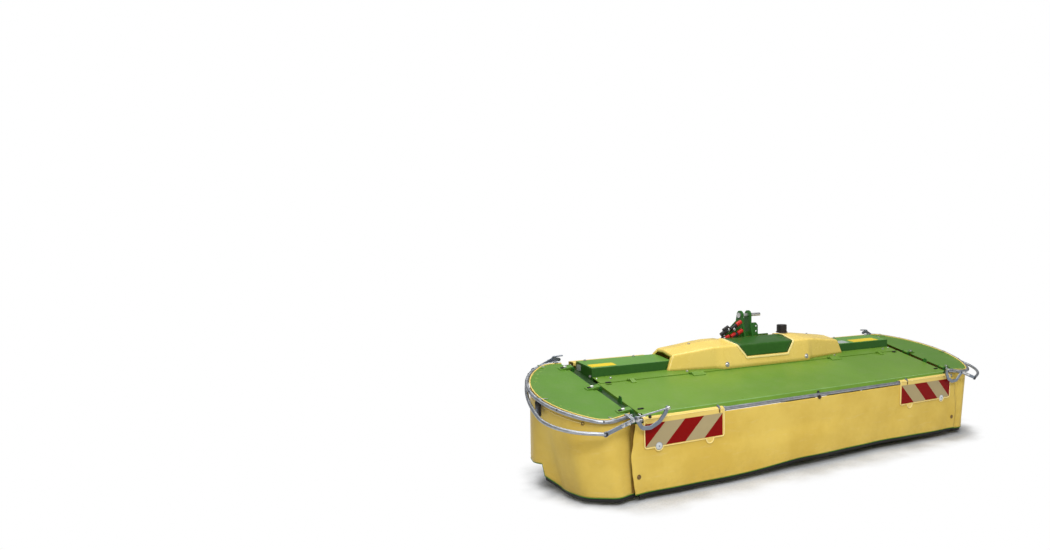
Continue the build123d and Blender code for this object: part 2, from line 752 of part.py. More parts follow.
# ---------------------------------------------------------------- headstock and hitch
link_plate = 15.0
link_plate_x = 37.5
link_head = 34.0            # radius of the plates' heads
link_pin_z = 984.0
link_pin_setback = 855.0
link_pin_radius = 12.7
link_pin_shank = 14.0
link_pin_out = 105.0        # free end beside the right plate
lower_pin_drop = 610.0      # standard mast height of the hitch
lower_pin_setback = 880.0
lower_pin_radius = 14.2
lower_pin_shank = 16.0
lower_pin_out = 85.0
lower_link_x = 412.5
lower_gap = 60.0
lower_plate = 12.0
lower_head = 38.0
pin_collar = 8.0
pin_collar_radius = 20.0
pin_chamfer = 1.5
lower_pin_z = link_pin_z - lower_pin_drop
link_front = beam_rear - 60.0
# Flanges beside the plates: the right one carries hose clips, the left one the couplers.
flange_thickness = 5.4
flange_setback = 819.0
flange_left = [(-30.0, 780.0), (-30.0, 946.0), (-110.0, 946.0), (-205.0, 868.0), (-205.0, 822.0),
               (-120.0, 780.0)]
flange_right = [(40.0, 760.0), (40.0, 927.0), (84.0, 927.0), (103.0, 905.0), (103.0, 838.0), (205.0, 838.0),
                (205.0, 822.0), (120.0, 760.0)]
flange_corner = 8.0
flange_holes = [(86.0, 900.0), (86.0, 862.0), (-60.0, 905.0)]
flange_hole_radius = 6.5
spacer_setback = beam_rear + 20.0
spacer_z = (770.0, 860.0)   # web between the plates, below the top link's swing
spacer_thickness = 12.0

with BuildPart() as headstock:
    for side in (-1, 1):
        with BuildSketch(profile(side * link_plate_x)):
            with BuildLine():
                Polyline((link_front, beam_top_z + contact), (link_pin_setback - link_head, link_pin_z - 60),
                         (link_pin_setback - link_head, link_pin_z), (link_pin_setback + link_head, link_pin_z),
                         (link_pin_setback + link_head + 26, link_pin_z - 90),
                         (link_pin_setback + link_head + 26, beam_bottom_z + 10),
                         (beam_rear + contact, beam_bottom_z + 10), (beam_rear + contact, beam_top_z + contact),
                         close=True)
            make_face()
            with Locations((link_pin_setback, link_pin_z)):
                Circle(link_head)
                Circle(link_pin_shank + contact, mode=Mode.SUBTRACT)
        extrude(amount=link_plate / 2, both=True)
    with BuildSketch(profile(0)):
        with Locations((spacer_setback, sum(spacer_z) / 2)):
            Rectangle(spacer_thickness, spacer_z[1] - spacer_z[0])
    extrude(amount=link_plate_x, both=True)
    with BuildSketch(facing(flange_setback - flange_thickness / 2)):
        for outline in (flange_left, flange_right):
            with BuildLine():
                FilletPolyline(*outline, radius=flange_corner, close=True)
            make_face()
        with Locations(*flange_holes):
            Circle(flange_hole_radius, mode=Mode.SUBTRACT)
    extrude(amount=-flange_thickness)
    with BuildSketch(profile(0)):
        with Locations((link_pin_setback, link_pin_z)):
            Circle(link_pin_shank + contact)
    extrude(amount=link_plate_x - link_plate / 2, both=True, mode=Mode.SUBTRACT)
save(headstock.part, "headstock")

with BuildPart() as lower_link_brackets:
    for side in (-1, 1):
        for end in (-1, 1):
            x = side * lower_link_x + end * (lower_gap + lower_plate) / 2
            with BuildSketch(profile(x)):
                with BuildLine():
                    Polyline((beam_rear - 50, beam_bottom_z - contact), (beam_rear + contact, beam_bottom_z - contact),
                             (beam_rear + contact, beam_top_z - 30), (beam_rear + 30, beam_top_z - 50),
                             (lower_pin_setback + 45, lower_pin_z + 60),
                             (lower_pin_setback + lower_head, lower_pin_z),
                             (lower_pin_setback - lower_head, lower_pin_z),
                             (lower_pin_setback - 45, lower_pin_z + 70), close=True)
                make_face()
                with Locations((lower_pin_setback, lower_pin_z)):
                    Circle(lower_head)
                    Circle(lower_pin_shank + contact, mode=Mode.SUBTRACT)
            extrude(amount=lower_plate / 2, both=True)
save(lower_link_brackets.part, "lower_link_brackets")

with BuildPart() as hitch_pins:
    plates_out = link_plate_x + link_plate / 2
    with BuildSketch(profile(-plates_out - contact - pin_collar)):
        with Locations((link_pin_setback, link_pin_z)):
            Circle(pin_collar_radius)
    extrude(amount=pin_collar)
    with BuildSketch(profile(-plates_out - contact)):
        with Locations((link_pin_setback, link_pin_z)):
            Circle(link_pin_shank)
    extrude(amount=2 * plates_out + contact)
    with BuildSketch(profile(plates_out)):
        with Locations((link_pin_setback, link_pin_z)):
            Circle(link_pin_radius)
    extrude(amount=link_pin_out)
    chamfer(hitch_pins.faces().sort_by(Axis.X)[-1].edges(), pin_chamfer)
    brackets_in = lower_link_x - lower_gap / 2 - lower_plate
    brackets_out = lower_link_x + lower_gap / 2 + lower_plate
    for side in (-1, 1):
        with BuildSketch(profile(side * (brackets_in - contact - pin_collar))):
            with Locations((lower_pin_setback, lower_pin_z)):
                Circle(pin_collar_radius)
        extrude(amount=side * pin_collar)
        with BuildSketch(profile(side * (brackets_in - contact))):
            with Locations((lower_pin_setback, lower_pin_z)):
                Circle(lower_pin_shank)
        extrude(amount=side * (brackets_out - brackets_in + contact))
        with BuildSketch(profile(side * brackets_out)):
            with Locations((lower_pin_setback, lower_pin_z)):
                Circle(lower_pin_radius)
        extrude(amount=side * lower_pin_out)
        chamfer(hitch_pins.faces().sort_by(Axis.X)[0 if side < 0 else -1].edges(), pin_chamfer)
save(hitch_pins.part, "hitch_pins")

# Hydraulic couplers parked on the left flange, their caps towards the plates, in two rows either
# side of it: middle of the cap and the row.
coupler_lean = 27.0         # degrees the couplers rise towards the plates
coupler_body_radius = 13.0
coupler_body_length = 60.0
coupler_collar_radius = 15.0
coupler_collar_length = 16.0
cap_sleeve_radius = 16.0
cap_sleeve_length = 50.0
cap_sleeve_round = 4.0
couplers_table = [
    {"x": -95.0, "z": 930.0, "row": -1},
    {"x": -84.0, "z": 866.0, "row": -1},
    {"x": -150.0, "z": 884.0, "row": 1},
    {"x": -165.0, "z": 838.0, "row": 1},
]
coupler_row = flange_thickness / 2 + contact + cap_sleeve_radius
coupler_way = Vector(math.cos(math.radians(coupler_lean)), 0, math.sin(math.radians(coupler_lean)))


def coupler_plane(coupler, forward):
    """Plane square to a coupler at a distance along it from the middle of its cap."""
    middle = Vector(coupler["x"], sheet_y + flange_setback + coupler["row"] * coupler_row, coupler["z"])
    return Plane(origin=middle + coupler_way * forward, x_dir=(0, 1, 0), z_dir=coupler_way)


with BuildPart() as couplers:
    for coupler in couplers_table:
        with BuildSketch(coupler_plane(coupler, -cap_sleeve_length / 2 - coupler_body_length)):
            Circle(coupler_body_radius)
        extrude(amount=coupler_body_length - contact)
        with BuildSketch(coupler_plane(coupler, -cap_sleeve_length / 2 - coupler_collar_length - 6)):
            Circle(coupler_collar_radius)
        extrude(amount=coupler_collar_length)
save(couplers.part, "couplers")

with BuildPart() as dust_caps:
    for coupler in couplers_table:
        with BuildSketch(coupler_plane(coupler, -cap_sleeve_length / 2)):
            Circle(cap_sleeve_radius)
        extrude(amount=cap_sleeve_length)
    for coupler in couplers_table:
        ends = dust_caps.faces().filter_by(GeomType.PLANE)
        far = coupler_plane(coupler, cap_sleeve_length / 2).origin
        fillet(ends.sort_by(lambda face: (face.center() - far).length)[0].edges(), cap_sleeve_round)
save(dust_caps.part, "dust_caps")

# Hydraulic hoses from the upper row's tails down behind the hood to the bulkheads on the beam.
hose_radius = 6.0
hose_share = 0.45           # share of the shorter run that each bend takes up
hose_row = flange_setback - coupler_row


def hose_start(coupler):
    """Just behind a coupler's tail, in the plane of its row."""
    tail = coupler_plane(coupler, -cap_sleeve_length / 2 - coupler_body_length - contact).origin
    return (tail.X, tail.Z)


# Points of each hose seen from the front, as X and Z, after the coupler's tail.
hose_points = [
    [(-245.5, 853.3), (bulkhead_xs[0], 778.0), (bulkhead_xs[0], beam_top_z + bulkhead_height)],
    [(-208.7, 802.4), (bulkhead_xs[1], 762.0), (bulkhead_xs[1], beam_top_z + bulkhead_height)],
]


def hose(points):
    """Hose of straight runs joined by tangent arcs, in its row's upright plane."""
    radii = []
    for before, corner, after in zip(points, points[1:], points[2:]):
        first = Vector(corner[0] - before[0], corner[1] - before[1], 0)
        second = Vector(after[0] - corner[0], after[1] - corner[1], 0)
        half_turn = math.radians(first.get_angle(second)) / 2
        radii.append(hose_share * min(first.length, second.length) / math.tan(half_turn))
    print("bend radii", [round(radius) for radius in radii])
    with BuildLine() as flat:
        FilletPolyline(*points, radius=radii)
    route = facing(hose_row).from_local_coords(flat.wire())
    with BuildPart() as tube:
        with BuildSketch(Plane(origin=route @ 0, z_dir=route % 0)):
            Circle(hose_radius)
        sweep(path=route)
    return tube.part


for number, points in enumerate(hose_points):
    save(hose([hose_start(couplers_table[number])] + points), "hydraulic_hose_" + str(number + 1))

# ---------------------------------------------------------------- gearbox and input shaft
drive_disc = 4
drive_x = disc_xs[drive_disc]
gearbox_half_width = 110.0
gearbox_bottom_z = 372.0
gearbox_top_z = 560.0
gearbox_front = 380.0
gearbox_rear = 770.0
gearbox_bend = 22.0
shaft_z = 500.0
shaft_radius = 20.0
shaft_seat = 690.0          # inner end of the shaft, in the gearbox
shaft_shoulder = 1040.0
shaft_end = 1110.0
stub_radius = 17.5
shaft_guard_radius = 62.0
shaft_guard_wall = 4.0
shaft_guard_end = 1066.0

with BuildPart() as gearbox:
    with BuildSketch(profile(drive_x)):
        with BuildLine():
            FilletPolyline((gearbox_front, gearbox_bottom_z), (gearbox_front, gearbox_top_z), (640, gearbox_top_z),
                           (690, beam_bottom_z - contact), (gearbox_rear, beam_bottom_z - contact),
                           (gearbox_rear, 420), (600, gearbox_bottom_z), radius=gearbox_bend, close=True)
        make_face()
    extrude(amount=gearbox_half_width, both=True)
    with BuildSketch(Plane(origin=(drive_x, sheet_y + gearbox_rear, shaft_z), x_dir=(1, 0, 0), z_dir=(0, 1, 0))):
        Circle(shaft_radius + hinge_pin_gap)
    extrude(amount=shaft_seat - contact - gearbox_rear, mode=Mode.SUBTRACT)
save(gearbox.part, "gearbox")

with BuildPart() as input_shaft:
    with BuildSketch(Plane(origin=(drive_x, sheet_y + shaft_seat, shaft_z), x_dir=(1, 0, 0), z_dir=(0, 1, 0))):
        Circle(shaft_radius)
    extrude(amount=shaft_shoulder - shaft_seat)
    with BuildSketch(Plane(origin=(drive_x, sheet_y + shaft_shoulder, shaft_z), x_dir=(1, 0, 0), z_dir=(0, 1, 0))):
        Circle(stub_radius)
    extrude(amount=shaft_end - shaft_shoulder)
    chamfer(input_shaft.faces().sort_by(Axis.Y)[-1].edges(), pin_chamfer)
save(input_shaft.part, "input_shaft")

with BuildPart() as shaft_guard:
    with BuildSketch(Plane(origin=(drive_x, sheet_y + gearbox_rear + contact, shaft_z), x_dir=(1, 0, 0),
                           z_dir=(0, 1, 0))):
        Circle(shaft_guard_radius)
        Circle(shaft_guard_radius - shaft_guard_wall, mode=Mode.SUBTRACT)
    extrude(amount=shaft_guard_end - gearbox_rear)
save(shaft_guard.part, "shaft_guard")

# ---------------------------------------------------------------- cutterbar
bar_nose = (20.0, 30.0)     # lower and upper edge of the bar's front nose above its bottom
bar_bend = 4.0
hub_flange_radius = 92.0
hub_flange_height = 7.0
joint_width = 36.0          # bolted joint rib between neighbouring disc units
joint_rise = 6.0

with BuildPart() as cutterbar:
    with BuildSketch(profile(0)):
        with BuildLine():
            FilletPolyline((disc_setback - bar_depth / 2, bar_bottom_z + bar_nose[0]),
                           (disc_setback - bar_depth / 2, bar_bottom_z + bar_nose[1]),
                           (disc_setback - bar_depth / 2 + 50, bar_top_z),
                           (disc_setback + bar_depth / 2 - 30, bar_top_z),
                           (disc_setback + bar_depth / 2, bar_top_z - 20),
                           (disc_setback + bar_depth / 2, bar_bottom_z),
                           (disc_setback - bar_depth / 2 + 40, bar_bottom_z), radius=bar_bend, close=True)
        make_face()
    extrude(amount=max(disc_xs) + bar_overhang, both=True)
    for x in disc_xs:
        with BuildSketch(level(bar_top_z)):
            with Locations((x, disc_setback)):
                Circle(hub_flange_radius)
        extrude(amount=hub_flange_height)
        with BuildSketch(level(bar_top_z)):
            with Locations((x, disc_setback)):
                Circle(hub_radius)
        extrude(amount=hub_height)
    for x in disc_xs[:-1]:
        with BuildSketch(level(bar_top_z)):
            with Locations((x + disc_pitch / 2, disc_setback)):
                RectangleRounded(joint_width, bar_depth - 90, 10)
        extrude(amount=joint_rise)
save(cutterbar.part, "cutterbar")

skid_width = 270.0
# Section of a skid: its lower face from the raised front to the raised rear, as offsets from the disc.
skid_line = [(-222.0, 50.0), (-114.0, 0.0), (160.0, 0.0), (232.0, 26.0)]
skid_bend = 40.0

with BuildPart() as skids:
    for x in disc_xs:
        with BuildSketch(profile(x)):
            with BuildLine():
                FilletPolyline(*[(disc_setback + out, z) for out, z in skid_line], radius=skid_bend)
                offset(amount=skid_thickness - contact, side=Side.LEFT)
            make_face()
        extrude(amount=skid_width / 2, both=True)
save(skids.part, "skids")

hanger_xs = [pitches * disc_pitch for pitches in (-3, -2, 2, 3)]     # between the discs
hanger_thickness = 20.0
hanger_low_z = 14.0
with BuildPart() as cutterbar_hangers:
    for x in hanger_xs:
        with BuildSketch(profile(x)):
            with BuildLine():
                Polyline((disc_setback + bar_depth / 2 + contact, hanger_low_z),
                         (disc_setback + bar_depth / 2 + contact, hanger_low_z + 34),
                         (beam_setback - 20, 70), (beam_setback + 6, beam_bottom_z - contact),
                         (beam_setback + 64, beam_bottom_z - contact), (beam_setback + 40, 60),
                         (beam_setback + 16, hanger_low_z), close=True)
            make_face()
        extrude(amount=hanger_thickness / 2, both=True)
save(cutterbar_hangers.part, "cutterbar_hangers")

# Oval discs, each a quarter turn on from the next, with two knives on their long way. A knife's tip
# passes the short way of the next disc.
knife_reach = disc_pitch - disc_short - moving_gap
knife_show = 45.0
knife_seat = 52.0
knife_width = 46.0
knife_thickness = 4.0
knife_bolt_radius = 9.0
knife_bolt_drop = 9.0
disc_long = knife_reach - knife_show
disc_bevel = 3.0
dome_radius = 112.0
dome_top_radius = 70.0
dome_height = 30.0
disc_cap_radius = 34.0
disc_cap_height = 10.0
drum_radius = 140.0
drum_waist_radius = 112.0
drum_height = 250.0
drum_lip = 12.0
drive_drum_gap = 8.0

for number, x in enumerate(disc_xs):
    turn = 90.0 if number % 2 else 0.0
    place = Plane(origin=(x, sheet_y + disc_setback, disc_bottom_z))
    top_z = disc_bottom_z + disc_plate
    with BuildPart() as disc:
        with BuildSketch(place.rotated((0, 0, turn))):
            Ellipse(disc_long, disc_short)
        extrude(amount=disc_plate)
        chamfer(disc.faces().sort_by(Axis.Z)[-1].edges(), disc_bevel)
        with BuildSketch(place.offset(disc_plate)):
            Circle(dome_radius)
        with BuildSketch(place.offset(disc_plate + dome_height)):
            Circle(dome_top_radius)
        loft()
        with BuildSketch(place.offset(disc_plate + dome_height)):
            Circle(disc_cap_radius)
        extrude(amount=disc_cap_height)
        with BuildSketch(place.rotated((0, 0, turn))):
            with Locations(*[(end * (disc_long - knife_seat + knife_reach) / 2, 0) for end in (-1, 1)]):
                RectangleRounded(knife_reach - disc_long + knife_seat, knife_width, 6)
        extrude(amount=-knife_thickness)
        with BuildSketch(place.rotated((0, 0, turn))):
            with Locations(*[(end * (disc_long - knife_seat / 2), 0) for end in (-1, 1)]):
                Circle(knife_bolt_radius)
        extrude(amount=-knife_bolt_drop)
        if number in (0, disc_count - 1):
            with BuildSketch(Plane.XZ.offset(-sheet_y - disc_setback)):
                with BuildLine():
                    Polyline((x, top_z), (x + drum_radius, top_z), (x + drum_waist_radius, top_z + 90),
                             (x + drum_waist_radius, top_z + drum_height - drum_lip),
                             (x + drum_waist_radius + drum_lip, top_z + drum_height),
                             (x, top_z + drum_height), close=True)
                make_face()
            revolve(axis=Axis((x, sheet_y + disc_setback, 0), (0, 0, 1)))
        if number == drive_disc:
            with BuildSketch(place.offset(disc_plate)):
                Circle(drum_waist_radius)
            extrude(amount=gearbox_bottom_z - top_z - drive_drum_gap)
    save(disc.part, "disc_" + str(number + 1))

# ---------------------------------------------------------------- rear guards and stands
rear_guard_inner_x = 832.0
rear_guard_outer_x = board_outer_x
rear_guard_setback = 958.0
rear_guard_top_z = 739.0
rear_guard_low_z = 630.0
rear_guard_cut_z = 716.0    # lower edge where it passes over the frame arms
rear_guard_bend = 10.0
housing_rear = housing_line[2][0]
rear_curtain_inner_x = 980.0
rear_curtain_z = (80.0, 705.0)

with BuildPart() as rear_guards:
    for side in (-1, 1):
        with BuildSketch(profile(side * (rear_guard_inner_x + rear_guard_outer_x) / 2)):
            add(folded([(housing_rear + contact, 690.0), (housing_rear + contact, rear_guard_top_z),
                        (rear_guard_setback, rear_guard_top_z), (rear_guard_setback, rear_guard_low_z)],
                       rear_guard_bend))
        extrude(amount=(rear_guard_outer_x - rear_guard_inner_x) / 2, both=True)
        with Locations((side * (frame_half_width + 50), sheet_y + rear_guard_setback, rear_guard_cut_z - 100)):
            Box(100, 300, 200, mode=Mode.SUBTRACT)
save(rear_guards.part, "rear_guards")

with BuildPart() as rear_curtains:
    for side in (-1, 1):
        with BuildSketch(profile(side * (rear_curtain_inner_x + frame_half_width) / 2)):
            with Locations((rear_guard_setback + contact + curtain_thickness / 2, sum(rear_curtain_z) / 2)):
                Rectangle(curtain_thickness, rear_curtain_z[1] - rear_curtain_z[0])
        extrude(amount=(frame_half_width - rear_curtain_inner_x) / 2, both=True)
save(rear_curtains.part, "rear_curtains")

stand_x = 620.0
stand_setback = 905.0
stand_foot = 130.0
stand_foot_thickness = 12.0
stand_tube = 50.0
stand_tube_wall = 4.0
stand_top_z = 650.0

with BuildPart() as parking_stands:
    for side in (-1, 1):
        with BuildSketch(level(0)):
            with Locations((side * stand_x, stand_setback)):
                RectangleRounded(stand_foot, stand_foot, stand_foot / 8)
        extrude(amount=stand_foot_thickness)
        with BuildSketch(level(stand_foot_thickness)):
            with Locations((side * stand_x, stand_setback)):
                RectangleRounded(stand_tube, stand_tube, stand_tube_wall + 2)
                RectangleRounded(stand_tube - 2 * stand_tube_wall, stand_tube - 2 * stand_tube_wall, 2,
                                 mode=Mode.SUBTRACT)
        extrude(amount=stand_top_z - stand_foot_thickness)
        with BuildSketch(facing(beam_rear + contact)):
            with Locations((side * stand_x, stand_top_z - stand_tube / 2)):
                Rectangle(stand_tube, stand_tube)
        extrude(amount=-(stand_setback - stand_tube / 2 - beam_rear))
save(parking_stands.part, "parking_stands")
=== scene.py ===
"""Front disc mower: finishes, curtains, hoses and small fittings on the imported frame."""
import json
import math

import bmesh
import bpy
from mathutils import Matrix, Vector
from mathutils.bvhtree import BVHTree


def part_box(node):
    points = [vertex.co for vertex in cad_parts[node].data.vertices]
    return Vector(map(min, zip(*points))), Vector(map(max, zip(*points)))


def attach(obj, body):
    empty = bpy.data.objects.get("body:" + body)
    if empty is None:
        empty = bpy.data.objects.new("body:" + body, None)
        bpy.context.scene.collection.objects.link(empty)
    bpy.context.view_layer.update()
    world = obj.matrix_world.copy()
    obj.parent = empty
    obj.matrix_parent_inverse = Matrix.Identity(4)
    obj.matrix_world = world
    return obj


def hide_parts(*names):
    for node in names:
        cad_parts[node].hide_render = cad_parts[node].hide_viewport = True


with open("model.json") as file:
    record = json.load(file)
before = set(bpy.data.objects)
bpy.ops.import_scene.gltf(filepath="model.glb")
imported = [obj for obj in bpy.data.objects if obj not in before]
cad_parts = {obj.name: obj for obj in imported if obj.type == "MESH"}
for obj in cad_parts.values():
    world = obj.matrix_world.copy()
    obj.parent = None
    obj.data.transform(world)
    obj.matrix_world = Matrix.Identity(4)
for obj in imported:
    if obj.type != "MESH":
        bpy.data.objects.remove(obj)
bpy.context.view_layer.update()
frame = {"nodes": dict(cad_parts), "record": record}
nodes = frame["nodes"]
slots = {part["node"]: part["material_slot"] for part in frame["record"]["subparts"]}

# ---------------------------------------------------------------- lines the machine is set out on
sheets_low, sheets_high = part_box("hazard_sheets")
boards_front = sheets_low.y                          # face of the warning boards
cover_foot_z = 0.514                                 # height of the sloping cover at that face
slope = math.radians(12.5)
up_slope = Vector((0, math.cos(slope), math.sin(slope)))
off_slope = Vector((0, -math.sin(slope), math.cos(slope)))
guard_inner = 1.410                                  # where the side guards' own measures start
LEFT, RIGHT = -1, 1
ASIDE, AFT, UP = Vector((1, 0, 0)), Vector((0, 1, 0)), Vector((0, 0, 1))
OUT_FRONT = -AFT
SIDES = ((LEFT, "left"), (RIGHT, "right"))


def at(x, setback, z):
    """A point by its distance behind the boards."""
    return Vector((x, boards_front + setback, z))


def on_cover(x, run, lift=0.0):
    """A point on the sloping cover."""
    return at(x, 0, cover_foot_z) + up_slope * run + off_slope * lift


def on_guard(side, out, run, lift=0.0):
    """A point on a side guard, measured outwards and up the slope."""
    return on_cover(side * (guard_inner + out), run, lift)


def smooth(value, low, high):
    """0 below low, 1 above high and an even change between them."""
    t = min(1.0, max(0.0, (value - low) / (high - low)))
    return t * t * (3 - 2 * t)


def new_piece(name, data):
    """A new object in the scene with its mesh, curve, lens or lamp."""
    piece = bpy.data.objects.new(name, data)
    bpy.context.collection.objects.link(piece)
    return piece


def way_at(line, n):
    """From the point before to the point after one point of a line."""
    return line[min(n + 1, len(line) - 1)] - line[max(n - 1, 0)]


def distances(line):
    """How far along a line each of its points is."""
    reached = [0.0]
    for before, after in zip(line, line[1:]):
        reached.append(reached[-1] + (after - before).length)
    return reached


def length_of(line):
    return distances(line)[-1]


def grid_faces(rows, columns):
    """Faces between points that stand in rows and columns."""
    return [(r * columns + c, r * columns + c + 1, (r + 1) * columns + c + 1, (r + 1) * columns + c)
            for r in range(rows - 1) for c in range(columns - 1)]


def shape_of(name):
    """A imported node's surface, ready for rays."""
    mesh = nodes[name].data
    return BVHTree.FromPolygons([v.co for v in mesh.vertices], [face.vertices for face in mesh.polygons])


# ---------------------------------------------------------------- camera
def set_camera():
    """Camera a little above the machine, off its left front corner, with the lens shifted aside."""
    yaw, pitch, roll = 0.67683644, 0.19039183, 0.00400981
    ahead = Vector((math.sin(yaw) * math.cos(pitch), math.cos(yaw) * math.cos(pitch), -math.sin(pitch)))
    across = Vector((math.cos(yaw), -math.sin(yaw), 0))
    above = across.cross(ahead)
    right = math.cos(roll) * across + math.sin(roll) * above
    top = math.cos(roll) * above - math.sin(roll) * across
    lens = bpy.data.cameras.new("camera")
    camera = new_piece("camera", lens)
    place = Vector((-3.86347, boards_front - 4.09584, 1.50133))
    turn = Matrix((right, top, -ahead)).transposed().to_4x4()
    camera.matrix_world = Matrix.Translation(place) @ turn
    lens.sensor_width = 36
    lens.lens = 28.4178857
    lens.shift_x, lens.shift_y = -0.21953333, 0.12384762
    bpy.context.scene.camera = camera


set_camera()


# ---------------------------------------------------------------- node trees
def put(tree, kind, inputs=None, **settings):
    """One node of a tree; its inputs are plain values or other nodes' outputs."""
    node = tree.nodes.new(kind)
    for name, value in settings.items():
        setattr(node, name, value)
    for key, value in (inputs or {}).items():
        if isinstance(value, bpy.types.NodeSocket):
            tree.links.new(value, node.inputs[key])
        else:
            node.inputs[key].default_value = value
    return node


def calc(tree, operation, *values, clamp=False):
    """One sum of plain values or of other nodes' outputs."""
    inputs = dict(enumerate(values))
    return put(tree, "ShaderNodeMath", inputs, operation=operation, use_clamp=clamp).outputs[0]


def times(tree, first, second):
    return calc(tree, "MULTIPLY", first, second)


def plus(tree, first, second):
    return calc(tree, "ADD", first, second)


def less(tree, first, second):
    return calc(tree, "SUBTRACT", first, second)


def mixed(tree, share, first, second):
    """Two colours mixed by a share."""
    return put(tree, "ShaderNodeMix", {0: share, 6: first, 7: second}, data_type="RGBA").outputs[2]


def spread(tree, value, low, high, new_low=0.0, new_high=1.0):
    """A value moved from one range to another and held inside it."""
    node = put(tree, "ShaderNodeMapRange", {0: value, 1: low, 2: high, 3: new_low, 4: new_high},
               interpolation_type="SMOOTHSTEP")
    return node.outputs[0]


def cloud(tree, place, scale, detail=2.0, rough=0.5):
    """Soft noise from 0 to 1."""
    inputs = {"Vector": place, "Scale": scale, "Detail": detail, "Roughness": rough}
    return put(tree, "ShaderNodeTexNoise", inputs).outputs["Fac"]


def split(tree, place):
    """The X, Y and Z of a place or direction."""
    return put(tree, "ShaderNodeSeparateXYZ", {0: place}).outputs


def stretched(tree, place, scale):
    """The same place with each direction scaled on its own."""
    return put(tree, "ShaderNodeVectorMath", {0: place, 1: scale}, operation="MULTIPLY").outputs[0]


KINDS = {"value": "NodeSocketFloat", "colour": "NodeSocketColor", "vector": "NodeSocketVector",
         "shape": "NodeSocketGeometry", "finish": "NodeSocketMaterial"}


def tree_with(kind, name, takes, gives):
    """A node tree with named inputs and outputs, and its two end nodes."""
    tree = bpy.data.node_groups.new(name, kind)
    for label, (what, value) in takes.items():
        socket = tree.interface.new_socket(label, in_out="INPUT", socket_type=KINDS[what])
        if value is not None:
            socket.default_value = value
    for label, what in gives.items():
        tree.interface.new_socket(label, in_out="OUTPUT", socket_type=KINDS[what])
    return tree, tree.nodes.new("NodeGroupInput").outputs, tree.nodes.new("NodeGroupOutput").inputs


def effect(name, takes, gives):
    """A surface effect, which always takes the place that its patterns follow."""
    return tree_with("ShaderNodeTree", name, dict({"Place": ("vector", None)}, **takes), gives)


def hue(*colour):
    """A colour input with its first value."""
    return "colour", (*colour, 1)


COAT = {"Colour": "colour", "Roughness": "value", "Height": "value"}


def deliver(tree, ends, **results):
    """Links results to the outputs of their names."""
    for label, socket in results.items():
        tree.links.new(socket, ends[label.replace("_", " ")])


# ---------------------------------------------------------------- surface effects
def make_sprayed_coat():
    """Powder coat: slow change of shade, orange peel, and dust that settles on faces that look up."""
    tree, given, ends = effect("sprayed coat", {
        "Colour": hue(0.1, 0.3, 0.04), "Shade": hue(0.08, 0.25, 0.03),
        "Dust Colour": hue(0.45, 0.42, 0.34), "Dust": ("value", 0.1), "Gloss": ("value", 0.3)}, COAT)
    place = given["Place"]
    slow = spread(tree, cloud(tree, place, 1.7, 3.0), 0.35, 0.65)
    mottle = spread(tree, cloud(tree, place, 34.0, 4.0, 0.6), 0.3, 0.75)
    tone = plus(tree, times(tree, slow, 0.65), times(tree, mottle, 0.35))
    coat = mixed(tree, tone, given["Shade"], given["Colour"])
    facing = put(tree, "ShaderNodeNewGeometry").outputs["Normal"]
    settled = spread(tree, split(tree, facing)["Z"], 0.2, 0.95)
    grains = spread(tree, cloud(tree, place, 9.0, 6.0, 0.7), 0.42, 0.72)
    dusty = times(tree, times(tree, settled, grains), given["Dust"])
    dulled = plus(tree, given["Gloss"], times(tree, dusty, 0.5))
    deliver(tree, ends, Colour=mixed(tree, dusty, coat, given["Dust Colour"]),
            Roughness=plus(tree, dulled, times(tree, mottle, 0.07)),
            Height=cloud(tree, place, 420.0, 1.0))
    return tree


def make_splash():
    """Dirt thrown up from the ground: strongest near the floor, broken into spots."""
    tree, given, ends = effect("ground splash", {
        "Colour": hue(0.5, 0.5, 0.5), "Dirt": hue(0.16, 0.11, 0.05),
        "Reach": ("value", 0.25), "Amount": ("value", 0.35)}, {"Colour": "colour"})
    place = given["Place"]
    share_up = calc(tree, "DIVIDE", split(tree, place)["Z"], given["Reach"])
    low = calc(tree, "SUBTRACT", 1.0, share_up, clamp=True)
    spots = spread(tree, cloud(tree, place, 26.0, 8.0, 0.7), 0.4, 0.7)
    mask = times(tree, times(tree, calc(tree, "POWER", low, 1.6), spots), given["Amount"])
    deliver(tree, ends, Colour=mixed(tree, mask, given["Colour"], given["Dirt"]))
    return tree


def make_zinc_bloom():
    """Galvanised or plated steel: crystals of slightly different greys and dull handling marks."""
    tree, given, ends = effect("zinc bloom", {
        "Light": hue(0.62, 0.63, 0.64), "Dark": hue(0.36, 0.37, 0.39),
        "Crystals": ("value", 70.0), "Gloss": ("value", 0.34)}, COAT)
    place = given["Place"]
    cell = put(tree, "ShaderNodeTexVoronoi", {"Vector": place, "Scale": given["Crystals"]}).outputs["Color"]
    flake = put(tree, "ShaderNodeSeparateColor", {0: cell}).outputs["Red"]
    marks = spread(tree, cloud(tree, place, 18.0, 6.0, 0.65), 0.35, 0.7)
    tone = plus(tree, times(tree, flake, 0.55), times(tree, marks, 0.45))
    deliver(tree, ends, Colour=mixed(tree, tone, given["Dark"], given["Light"]),
            Roughness=plus(tree, given["Gloss"], times(tree, marks, 0.16)),
            Height=cloud(tree, place, 260.0, 3.0))
    return tree


